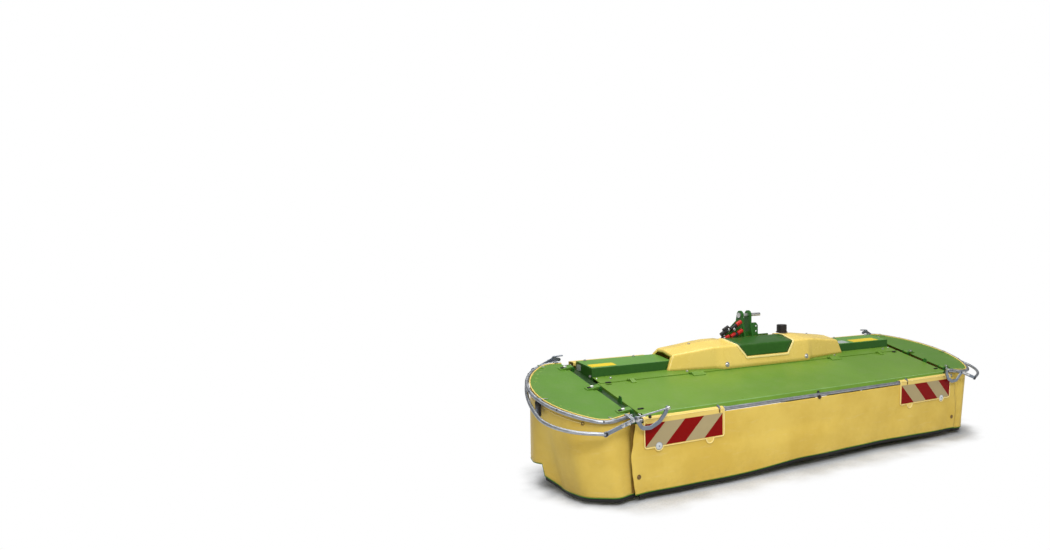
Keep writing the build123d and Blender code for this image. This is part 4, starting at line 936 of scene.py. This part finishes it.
def make_side_curtain(side, word):
    """A side guard's curtain with its piping, stitches, welt, hem strip and pull line."""
    body = "side_guard_" + word
    curtain = "side_curtain_" + word
    count, tall = 230, 34
    tops, rows = side_curtain_rows(side, count, tall)

    def outside(spot, by):
        """A point moved away from the middle of the guard."""
        return spot + (spot - Vector((side * 1.5, 0, spot.z))).normalized() * by

    piece = cloth_piece(curtain + "_cloth", rows, body)
    trim = hem_and_stitches(curtain, rows[-1], [outside(p, 0.0022) for p in rows[-3]], body)
    welt_line = [on_guard(side, p.x, p.y, 0.0005) for p in guard_line(rail_line, 0.0185, 160)]
    trim.append(grow(curtain + "_welt", line_mesh(welt_line), strand_tree, body,
                     "cream_fabric", "cream_paint", Radius=0.0042))
    low_end = next(c for c in range(count) if rows[-1][c].z > 0.15)
    lower = rows[-1][4:low_end]
    inwards = []
    for n in range(len(lower)):
        ahead = way_at(lower, n)
        inwards.append(Vector((-side * ahead.y, side * ahead.x, 0)).normalized())
    trim.append(hem_strip(curtain + "_strip", lower, inwards, body))
    level = rows[tall // 11]
    span = [c for c in range(count // 2) if 0.13 < tops[c].y - boards_front < 0.44]
    pull = [outside(level[c], 0.0045) for c in span]
    trim.append(grow(curtain + "_pull_line", line_mesh(pull), strand_tree, body,
                     "cream_fabric", "pale_cream_and_highlight", Radius=0.0026))
    ring = seeds([(pull[0], (pull[0] - level[span[0]]).normalized())])
    trim.append(grow(curtain + "_pull_end", ring, ring_tree, body,
                     "zinc_plate", "eyelet_brass", Radius=0.0085, Wire=0.0026))
    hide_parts("side_curtain_" + word)
    length = length_of(rows[0])


def make_rear_curtains():
    """Two short curtains below the rear guards."""
    low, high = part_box("rear_curtains")
    middle = (low.y + high.y) / 2 - boards_front
    inner_x, width = 0.980, 0.4077
    columns, tall = 28, 30
    for side, word in SIDES:
        rows = []
        for r in range(tall):
            drop = r / (tall - 1)
            z = high.z + (low.z - high.z) * drop
            row = []
            for c in range(columns):
                share = c / (columns - 1)
                setback = middle + 0.005 * sway(share, drop, 1.1 + side)
                row.append(at(side * (inner_x + width * share), setback, z))
            rows.append(row)
        piece = cloth_piece("rear_curtain_%s_cloth" % word, rows, "frame")
        stitched = [p + AFT * 0.0022 for p in rows[-2]]
        trim = hem_and_stitches("rear_curtain_" + word, rows[-1], stitched, "frame")
    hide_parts("rear_curtains")


curtain_shape = make_front_curtain()
for side, word in SIDES:
    make_side_curtain(side, word)
make_rear_curtains()


# ---------------------------------------------------------------- hood
# Foot, brow and ridge of the hood at three distances from its middle, as setback and height.
hood_places = [(0.400, (0.557, 0.642), (0.592, 0.797), (0.742, 0.828)),
               (0.475, (0.588, 0.646), (0.600, 0.797), (0.765, 0.822)),
               (0.830, (0.630, 0.655), (0.642, 0.763), (0.785, 0.790))]
hood_flank, hood_end = 0.475, 0.830                  # the straight flanks run between these distances
hood_rear, hood_hem = 0.905, 0.666
hood_gap_half, hood_gap_from = 0.290, 0.805          # gap behind the panel for the headstock
end_lean = math.tan(math.radians(23.7))
curl = 0.016                                         # radius by which the open ends roll inwards to a rim
panel_low, frame_low = 0.717, 0.704                  # lower edges of the panel and of the frame round it


def rounded(corners, radii, runs=5, turns=8):
    """A line through corners with each corner rounded, always with the same number of points."""
    line = [corners[0]]
    for before, corner, after, radius in zip(corners, corners[1:], corners[2:], radii):
        back, on = (before - corner).normalized(), (after - corner).normalized()
        half = back.angle(on) / 2
        reach = radius / math.tan(half) if radius else 0.0
        start, end = corner + back * reach, corner + on * reach
        last = line[-1]
        line += [last.lerp(start, n / runs) for n in range(1, runs + 1)]
        if radius:
            line += [start.lerp(corner, n / turns).lerp(corner.lerp(end, n / turns), n / turns)
                     for n in range(1, turns + 1)]
    last = line[-1]
    return line + [last.lerp(corners[-1], n / runs) for n in range(1, runs + 1)]


def hood_section(out):
    """The hood's section at a distance from its middle, from its foot over the top to its rear hem."""
    if out < hood_flank:
        share = smooth(out, 0.395, hood_flank)
        first, second = hood_places[:2]
    else:
        share = (out - hood_flank) / (hood_end - hood_flank)
        first, second = hood_places[1:]
    foot, brow, ridge = [Vector(a).lerp(Vector(b), share) for a, b in zip(first[1:], second[1:])]
    chamfer = 0.040
    corners = [foot, brow, ridge, Vector((hood_gap_from, ridge.y)), Vector((hood_rear - chamfer, ridge.y)),
               Vector((hood_rear, ridge.y - chamfer)), Vector((hood_rear, hood_hem))]
    return rounded(corners, [0.020, 0.060, 0.0, 0.020, 0.020])


def rolled_end(edge, way):
    """Further columns beyond an end of the hood, which roll inwards to a rim."""
    columns = []
    for turn, deeper in ((15, 0), (32, 0), (50, 0), (70, 0), (90, 0), (90, 0.010)):
        angle = math.radians(turn)
        sunk = curl * (1 - math.cos(angle)) + deeper
        column = []
        for n, spot in enumerate(edge):
            ahead = way_at(edge, n)
            inwards = Vector((0, ahead.z, -ahead.y)).normalized()
            column.append(spot + inwards * sunk + ASIDE * way * curl * math.sin(angle))
        columns.append(column)
    return columns


def make_hood():
    """The hood's shell with its open ends. Gives its surface, for the bolts."""
    outs = [0, 0.07, 0.14, 0.21, 0.25, hood_gap_half, 0.34, 0.385]
    outs += [0.395 + 0.010 * n for n in range(9)] + [0.485 + 0.345 * n / 12 for n in range(13)]
    outs = [-out for out in reversed(outs[1:])] + outs
    columns = []
    for out in outs:
        column = []
        for spot in hood_section(abs(out)):
            edge = 0.816 - (spot.y - 0.655) * end_lean    # the ends lean inwards towards the top
            share = max(0.0, (abs(out) - hood_flank) / (hood_end - hood_flank))
            column.append(at(math.copysign(abs(out) + (edge - hood_end) * share, out), spot.x, spot.y))
        columns.append(column)
    columns = rolled_end(columns[0], LEFT)[::-1] + columns + rolled_end(columns[-1], RIGHT)
    tall = len(columns[0])
    points = [p for column in columns for p in column]
    faces = []
    for face in grid_faces(len(columns), tall):
        middle = (points[face[0]] + points[face[2]]) / 2
        if abs(middle.x) >= hood_gap_half or middle.y - boards_front <= hood_gap_from:
            faces.append(face)
    hood = mesh_piece("hood_shell", points, faces, "frame", "cream_moulding", 0.0035)
    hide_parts("hood")
    return BVHTree.FromPolygons(points, faces)


def panel_half_width(spot, grown):
    """Half width of the panel's outline at a point of the hood's section."""
    outline = [(panel_low, 0.197), (0.797, 0.262), (0.8281, 0.278), (0.9, 0.278)]
    for (low, a), (high, b) in zip(outline, outline[1:]):
        if spot.y <= high:
            return a + grown + (b - a) * (spot.y - low) / (high - low)
    return outline[-1][1] + grown


def section_at(section, height):
    """Where a section passes a height on its way up: the point before it, and the place itself."""
    n = next(n for n in range(len(section) - 1) if section[n].y <= height < section[n + 1].y)
    share = (height - section[n].y) / (section[n + 1].y - section[n].y)
    return n, section[n].lerp(section[n + 1], share)


def out_of(section, n):
    """The direction that stands out of the hood at a point of its section."""
    along = way_at(section, n)
    return Vector((0, -along.y, along.x)).normalized()


def make_panel(section, rear):
    """The hood's panel, which lies over the opening in its middle."""
    start, foot = section_at(section, panel_low)
    line = [foot] + section[start + 1:rear + 1]
    points, wide = [], 13
    for n, spot in enumerate(line):
        half = panel_half_width(spot, -0.004)
        points += [at(half * (2 * c / (wide - 1) - 1), spot.x, spot.y) + out_of(line, n) * 0.0022
                   for c in range(wide)]
    panel = mesh_piece("panel_skin", points, grid_faces(len(line), wide), "frame", "green_paint", 0.0020,
                       "deep_green_and_painted_shade")
    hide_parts("hood_panel")


def make_panel_frame(section, rear):
    """The raised frame moulded round the panel, open at the back."""
    low, foot = section_at(section, frame_low)
    line = [(Vector((panel_half_width(section[n], 0.006), section[n].x, section[n].y)), n)
            for n in range(rear, 0, -1) if section[n].y > frame_low + 0.006]
    line += [(Vector((x, foot.x, foot.y)), low) for x in (0.198, 0.184, 0.12, 0.04)]
    line += [(Vector((-p.x, p.y, p.z)), n) for p, n in reversed(line)]
    spots = [spot for spot, _ in line]
    profile = [(-0.0085, -0.002), (-0.0075, 0.0040), (-0.0050, 0.0060), (0.0050, 0.0060), (0.0075, 0.0040),
               (0.0085, -0.002)]
    points, wide = [], len(profile)
    for k, (spot, n) in enumerate(line):
        out = out_of(section, n)
        aside = way_at(spots, k).normalized().cross(out).normalized()
        points += [at(*spot) + aside * a + out * b for a, b in profile]
    faces = grid_faces(len(line), wide)
    faces += [(k + wide - 1, k, k + wide, k + 2 * wide - 1) for k in range(0, (len(line) - 1) * wide, wide)]
    faces += [tuple(range(wide)), tuple((len(line) - 1) * wide + j for j in reversed(range(wide)))]
    # The frame is in the paler cream: a painted highlight.
    mesh_piece("panel_frame", points, faces, "frame", "cream_moulding", finish="pale_cream_and_highlight")


hood_shape = make_hood()
middle_section = hood_section(0.0)
gap_start = max(n for n, spot in enumerate(middle_section[:30]) if spot.x <= hood_gap_from)
make_panel(middle_section, gap_start)
make_panel_frame(middle_section, gap_start)


# ---------------------------------------------------------------- small fittings
small_bolt = {"Across": 0.013, "Head": 0.006, "Washer": 0.012, "Plate": 0.002}


def fit(name, tree, places, body="frame", slot_name="zinc_plate", finish=None, **sizes):
    """The same small part at every place, each a point with the direction it stands up in."""
    grow(name, seeds(places), tree, body, slot_name, finish, **sizes)


def on_both_sides(*spots):
    """Every spot given for the right, on the left and then on the right."""
    return [(side * x, *rest) for side in (LEFT, RIGHT) for x, *rest in spots]


def struck(shape, starts, way):
    """Where rays meet a shape, each place with the direction back out of the shape there."""
    places = []
    for start in starts:
        spot, facing, _, _ = shape.ray_cast(start, way)
        if spot is not None:
            places.append((spot, facing if facing.dot(way) < 0 else -facing))
    return places


def add_cover_fittings():
    """Bolts and rivets on the strip behind the cover, and rivets on the cover."""
    def on_slope(spots, lift):
        return [(on_cover(x, run, lift), off_slope) for x, run in spots]

    bolts = [(-1.282, 0.629), (1.282, 0.629), (-0.701, 0.607), (0.701, 0.607)]
    strip_lift = 0.0043
    fit("strip_bolts", bolt_tree, on_slope(bolts, strip_lift),
        Across=0.013, Head=0.006, Washer=0.011, Plate=0.0016)
    rivets = on_both_sides((1.37, 0.650))
    fit("strip_rivets", dome_tree, on_slope(rivets, strip_lift), Radius=0.007, Rise=0.004)
    rivets = on_both_sides((1.30, 0.075), (0.62, 0.075), (1.22, 0.535))
    fit("cover_rivets", dome_tree, on_slope(rivets, 0.0), "centre_cover", "green_paint",
        Radius=0.009, Rise=0.0035)


def add_hood_fittings():
    """Washered bolts low on the hood's front and small ones on its top."""
    starts = [at(x, 0.3, 0.673) for x in (-0.377, 0.377)]
    fit("hood_bolts", bolt_tree, struck(hood_shape, starts, AFT),
        Across=0.019, Head=0.009, Washer=0.018, Plate=0.003)
    starts = [at(x, 0.773, 1.2) for x in (-0.564, 0.564)]
    fit("hood_top_bolts", bolt_tree, struck(hood_shape, starts, -UP), **small_bolt)


def housing_top(x, setback, lift=0.0):
    """A point on the sloping top of a beam housing."""
    front, rear = 0.664, 0.884
    return at(x, setback, 0.723 + 0.024 * (setback - front) / (rear - front) + lift)


def add_housing_fittings():
    """Bare labels and bolts on the beam housings."""
    fore = housing_top(0, 0.884) - housing_top(0, 0.664)
    thin, lift = 0.0008, 0.0004
    for name, slot_name, finish, x, length, width in (
            ("label_left", "hazard_film", "label_yellow", -1.283, 0.182, 0.070),
            ("label_right", "hazard_film", "label_yellow", 1.152, 0.290, 0.085),
            ("label_right_grey", "galvanised_steel", "label_grey", 0.900, 0.110, 0.085)):
        slab(name, "frame", slot_name, housing_top(x, 0.722, lift), ASIDE, fore,
             (length, width, thin), 0.0002, finish)
    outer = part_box("beam_housings")[0].x
    slab("label_left_end", "frame", "galvanised_steel", at(outer - lift, 0.845, 0.706), AFT, UP,
         (0.060, 0.040, thin), 0.0002, "label_grey")
    bolts = [(housing_top(x, setback), UP) for x, setback in on_both_sides((0.96, 0.868), (1.33, 0.868))]
    bolts += [(at(x, setback, 0.665), ASIDE * math.copysign(1, x))
              for x, setback in on_both_sides((-outer, 0.69), (-outer, 0.855))]
    fit("housing_bolts", bolt_tree, bolts, **small_bolt)


def add_tube_fittings():
    """Screws on the front tube, curtain eyelets, and the boards' reflectors and rivets."""
    tube_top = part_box("front_tube")[1].z
    slanted = (OUT_FRONT + UP).normalized()
    screws = [(at(0.0, 0.0218, tube_top), UP)] + [(at(x, 0.008, 0.5095), slanted) for x in (-1.362, 1.362)]
    fit("tube_screws", bolt_tree, screws, slot_name="black_plastic",
        Across=0.014, Head=0.010, Washer=0.010, Plate=0.002)
    fit("tube_centre_screw", bolt_tree, [(at(-0.004, 0.0045, 0.478), OUT_FRONT)], slot_name="black_plastic",
        finish="cap_brown", Across=0.018, Head=0.009, Washer=0.014, Plate=0.002)
    starts = [at(x, -0.2, 0.157) for x in (-1.445, 1.445)]
    eyelets = [(spot + OUT_FRONT * 0.0017, OUT_FRONT) for spot, _ in struck(curtain_shape, starts, AFT)]
    fit("curtain_eyelets", ring_tree, eyelets, finish="eyelet_brass", Radius=0.012, Wire=0.0034)
    fit("curtain_studs", dome_tree, eyelets, finish="eyelet_brass", Radius=0.011, Rise=0.004)

    def on_boards(spots, lift):
        return [(at(x, lift, z), OUT_FRONT) for x, z in on_both_sides(*spots)]

    lens = [(1.306, 0.327)]
    fit("reflectors", dome_tree, on_boards(lens, 0.0013), slot_name="hazard_film", finish="reflector_lens",
        Radius=0.0225, Rise=0.0045)
    fit("reflector_rims", ring_tree, on_boards(lens, 0.0013), slot_name="galvanised_steel",
        Radius=0.0232, Wire=0.0022)
    fit("reflector_screws", dome_tree, on_boards(lens, -0.0027), finish="lever_steel",
        Radius=0.0050, Rise=0.0022)
    fit("board_rivets", dome_tree, on_boards([(0.934, 0.313), (0.850, 0.478), (1.391, 0.478)], 0.0013),
        slot_name="cream_paint", Radius=0.0055, Rise=0.0028)


def add_guard_fittings(side, word):
    """Hinge pads and nuts, lid dimples, rail rivets, lever bolts, rod knob, pull latch and bow plug."""
    body = "side_guard_" + word
    aside = ASIDE * side
    nuts = []
    for n, run in enumerate((0.118, 0.505, 0.880)):
        nuts.append((on_guard(side, 0.060, run, 0.013) + aside * 0.004, aside))
        slab("hinge_pad_%s_%d" % (word, n), body, "black_plastic", on_guard(side, 0.078, run, 0.0068), aside,
             up_slope, (0.046, 0.020, 0.010), 0.002)
    fit("hinge_nuts_" + word, bolt_tree, nuts, body, Across=0.015, Head=0.016, Washer=0.010, Plate=0.002)
    rim = guard_line(rail_line, 0.052, 60)
    dimples = [(on_guard(side, rim[n].x, rim[n].y, -0.0004), off_slope)
               for n in (12, 15, 18, 21, 24, 40, 43, 46, 49, 52)]
    fit("lid_dimples_" + word, dome_tree, dimples, body, "green_paint", Radius=0.011, Rise=0.0022)

    rail = guard_line(rail_line, 0.0, 100)
    rail_lift = -0.008
    rivets = []
    for n in (14, 34, 55, 76):
        here, ahead = rail[n], rail[n + 1]
        out = Vector((ahead.y - here.y, here.x - ahead.x)).normalized()
        way = (aside * out.x + up_slope * out.y + off_slope * 0.9).normalized()
        rivets.append((on_guard(side, here.x, here.y, rail_lift) + way * 0.0105, way))
    fit("rail_rivets_" + word, dome_tree, rivets, body, "black_plastic", Radius=0.0055, Rise=0.0035)

    front, rear = -0.046, 1.034                       # the lever plates' runs at both ends of the bow
    levers = [(on_guard(side, out, front - 0.004, lift), -up_slope)
              for out, lift in ((0.161, -0.010), (0.128, 0.001), (0.100, 0.012))]
    levers += [(on_guard(side, 0.076, front - 0.0145, 0.018), -up_slope)]
    levers += [(on_guard(side, out, rear + 0.004, lift), up_slope)
               for out, lift in ((0.161, -0.028), (0.110, 0.002))]
    fit("lever_bolts_" + word, bolt_tree, levers, body, Across=0.015, Head=0.008, Washer=0.012, Plate=0.002)
    knob = on_guard(side, -0.128, front - 0.009, 0.064)
    rod = (knob - on_guard(side, 0.08, front - 0.009, 0.03)).normalized()
    fit("rod_knob_" + word, drum_tree, [(knob, rod)], body, Radius=0.009, Length=0.020)

    latch = min((n for n in range(99) if rail[n].x >= 0.3), key=lambda n: abs(rail[n].y - 0.452))
    here, ahead = [on_guard(side, spot.x, spot.y, rail_lift) for spot in rail[latch:latch + 2]]
    step = rail[latch + 1] - rail[latch]
    out = Vector((side * step.y, -step.x, 0)).normalized()
    slab("pull_latch_" + word, body, "black_plastic", here - UP * 0.052, ahead - here, UP,
         (0.052, 0.080, 0.018), 0.004)
    fit("pull_latch_pin_" + word, bolt_tree, [(here + out * 0.008 - UP * 0.062, out)], body,
        finish="lever_steel", Across=0.013, Head=0.005, Washer=0.010, Plate=0.002)
    plug = on_guard(side, 0.266, front - 0.002, -0.050)
    fit("bow_plug_" + word, drum_tree, [(plug, -up_slope)], body, "black_plastic",
        Radius=0.0125, Length=0.008)


def outlines(name, picks):
    """Edge loops round the faces of a piece that picks chooses."""
    mesh = nodes[name].data
    shape = bmesh.new()
    shape.from_mesh(mesh)
    bmesh.ops.remove_doubles(shape, verts=shape.verts, dist=1e-5)
    chosen = {face for face in shape.faces if picks(face)}
    beside = {}
    for edge in shape.edges:
        if sum(face in chosen for face in edge.link_faces) == 1:
            for a, b in (edge.verts, reversed(edge.verts)):
                beside.setdefault(a, []).append(b)
    loops = []
    while beside:
        loop = [next(iter(beside))]
        while True:
            ahead = [v for v in beside.pop(loop[-1], []) if v in beside]
            if not ahead:
                break
            loop.append(ahead[0])
        loops.append([v.co.copy() for v in loop + loop[:1]])
    shape.free()
    return loops


def add_board_rims():
    """Rounded rim along the edge of each warning board's face."""
    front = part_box("warning_boards")[0].y
    loops = outlines("warning_boards", lambda face: face.normal.y < -0.9 and
                     face.calc_center_median().y < front + 0.006)
    rims = [[p + OUT_FRONT * 0.0006 for p in loop] for loop in loops if len(loop) > 12]
    # The rims are in the paler cream: a painted highlight.
    grow("board_rims", line_mesh(*rims), strand_tree, "frame", "cream_paint", "pale_cream_and_highlight", Radius=0.0040)


def add_tube_clips():
    """Small clips on the front tube with their tails, and black blocks in the cover's slots."""
    for n, x in enumerate((-0.859, 0.899)):
        slab("tube_clip_%d" % n, "frame", "galvanised_steel", at(x, 0.0125, 0.5085), ASIDE,
             Vector((0, 0.8, 0.6)), (0.016, 0.034, 0.010), 0.002, "lever_steel")
        slab("tube_clip_tail_%d" % n, "frame", "zinc_plate", at(x, 0.0005, 0.484), ASIDE, UP,
             (0.010, 0.022, 0.005), 0.002, "eyelet_brass")
    for n, (x, run) in enumerate(((-1.361, 0.116), (-1.332, 0.569), (1.361, 0.116), (1.332, 0.549))):
        slab("cover_block_%d" % n, "centre_cover", "black_plastic", on_cover(x, run, 0.0030), ASIDE, up_slope,
             (0.042, 0.014, 0.007), 0.002)


def add_rear_fittings():
    """Bolts on the rear guards and the parking stands."""
    def behind(name, spots):
        start_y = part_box(name)[1].y + 0.2
        starts = [Vector((x, start_y, z)) for x, z in on_both_sides(*spots)]
        return [(spot, AFT) for spot, _ in struck(shape_of(name), starts, -AFT)]

    row_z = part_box("rear_guards")[1].z - 0.045
    fit("rear_guard_bolts", bolt_tree, behind("rear_guards", [(x, row_z) for x in (0.90, 1.02, 1.18, 1.34)]),
        Across=0.015, Head=0.007, Washer=0.013, Plate=0.002)
    middle_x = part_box("parking_stands")[1].x - 0.05
    fit("stand_bolts", bolt_tree, behind("parking_stands", [(middle_x, z) for z in (0.60, 0.52, 0.44)]),
        finish="lever_steel", Across=0.017, Head=0.008, Washer=0.014, Plate=0.002)


def add_coupler_details():
    """Further caps, steel collars and further coupler bodies beside the couplers."""
    angle = math.radians(27)
    lean = ASIDE * math.cos(angle) + UP * math.sin(angle)

    def drums(name, slot_name, radius, length, *spots):
        places = [(at(x, 0.799, z), lean) for x, z in spots]
        fit(name, drum_tree, places, slot_name=slot_name, Radius=radius, Length=length)

    drums("spare_caps", "red_plastic", 0.0135, 0.040, (-0.150, 0.846), (-0.205, 0.833))
    drums("coupler_collars", "zinc_plate", 0.0165, 0.012, (-0.195, 0.888), (-0.142, 0.886), (-0.232, 0.820))
    drums("spare_couplers", "black_plastic", 0.0135, 0.050, (-0.250, 0.812), (-0.238, 0.868), (-0.215, 0.898))


def add_seals():
    """Flap under the cover's front lip, and dark flaps behind the front curtain's ends, painted as the shade
    in the gaps between the front and side curtains.
    """
    slab("cover_lip_flap", "centre_cover", "green_paint", at(0, 0.0475, 0.5120), ASIDE,
         Vector((0, 0.60, 0.80)), (2.74, 0.036, 0.003), 0.0012)
    for side, word in SIDES:
        slab("corner_shade_flap_" + word, "frame", "black_rubber", at(side * 1.430, 0.026, 0.268), ASIDE, UP,
             (0.108, 0.415, 0.004), 0.001, "fold_shade")


add_seals()
add_cover_fittings()
add_hood_fittings()
add_housing_fittings()
add_tube_fittings()
add_board_rims()
add_tube_clips()
add_coupler_details()
add_rear_fittings()
for side, word in SIDES:
    add_guard_fittings(side, word)


# ---------------------------------------------------------------- floor and light
AMBIENT = 0.30                                       # strength of the surroundings as light


def make_floor():
    """Pale floor: speckled near the machine with a near-black painted shadow under it, plain white farther
    out.
    """
    material = bpy.data.materials.new("floor")
    material.use_nodes = True
    tree = material.node_tree
    shader, output = tree.nodes["Principled BSDF"], tree.nodes["Material Output"]
    shader.inputs["Roughness"].default_value = 0.6
    place = put(tree, "ShaderNodeTexCoord").outputs["Object"]
    speckle = spread(tree, cloud(tree, place, 70.0, 9.0, 0.85), 0.38, 0.62)
    slow = spread(tree, cloud(tree, place, 2.2, 4.0), 0.3, 0.7)
    tone = plus(tree, times(tree, speckle, 0.6), times(tree, slow, 0.4))
    bare = mixed(tree, tone, (0.52, 0.53, 0.55, 1), (0.79, 0.80, 0.82, 1))

    way = split(tree, place)
    squares = []
    for axis, half_size in (("X", 1.30), ("Y", 0.06)):    # the middle strip that distances are taken from
        beyond = calc(tree, "MAXIMUM", 0.0, less(tree, calc(tree, "ABSOLUTE", way[axis]), half_size))
        squares.append(calc(tree, "POWER", beyond, 2.0))
    far = calc(tree, "SQRT", plus(tree, *squares))
    leftwards = spread(tree, times(tree, way["X"], -1.0), 1.55, 1.85, 0.0, 0.15)
    ragged = plus(tree, plus(tree, far, leftwards), times(tree, less(tree, slow, 0.5), 0.12))
    whitened = spread(tree, ragged, 0.48, 0.77)
    # Painted shadow: the floor turns near-black under and close to the machine.
    painted_shadow = spread(tree, far, 0.42, 0.27)
    tree.links.new(mixed(tree, painted_shadow, bare, (0.03, 0.03, 0.03, 1)), shader.inputs["Base Color"])

    rays = put(tree, "ShaderNodeLightPath").outputs
    seen = calc(tree, "MAXIMUM", calc(tree, "MAXIMUM", rays["Is Camera Ray"], rays["Is Glossy Ray"]),
                rays["Is Transmission Ray"])
    white = put(tree, "ShaderNodeEmission", {"Color": (1, 1, 1, 1), "Strength": 1.0}).outputs[0]
    plain = put(tree, "ShaderNodeMixShader", {0: times(tree, whitened, seen), 1: shader.outputs[0], 2: white})
    tree.links.new(plain.outputs[0], output.inputs["Surface"])
    reach = 14
    mesh = bpy.data.meshes.new("floor")
    mesh.from_pydata([(-reach, -reach, 0), (reach, -reach, 0), (reach, reach, 0), (-reach, reach, 0)], [],
                     [(0, 1, 2, 3)])
    mesh.materials.append(material)
    floor = new_piece("floor", mesh)


def make_world():
    """Even studio surroundings that a lens and clear parts see as white."""
    world = bpy.data.worlds.new("studio")
    bpy.context.scene.world = world
    world.use_nodes = True
    tree = world.node_tree
    back = tree.nodes["Background"]
    rays = put(tree, "ShaderNodeLightPath").outputs
    seen = calc(tree, "MAXIMUM", rays["Is Camera Ray"], rays["Is Transmission Ray"])
    back.inputs["Color"].default_value = (1, 1, 1, 1)
    tree.links.new(spread(tree, seen, 0.0, 1.0, AMBIENT, 1.0), back.inputs["Strength"])


def lamp(name, place, aim, size, power):
    """A flat lamp that faces the point it is aimed at."""
    light = bpy.data.lights.new(name, "AREA")
    light.shape = "RECTANGLE"
    light.size, light.size_y = size
    light.energy = power
    place = Vector(place)
    turn = (Vector(aim) - place).to_track_quat("-Z", "Y").to_matrix().to_4x4()
    new_piece(name, light).matrix_world = Matrix.Translation(place) @ turn


make_floor()
make_world()
lamp("overhead", (-0.6, 0.2, 5.0), (0, 0, 0.4), (6.5, 4.5), 240)
lamp("front_fill", (-3.2, -6.0, 5.2), (0, 0, 0.3), (4.5, 2.5), 330)
bpy.context.scene.view_settings.view_transform = "Standard"
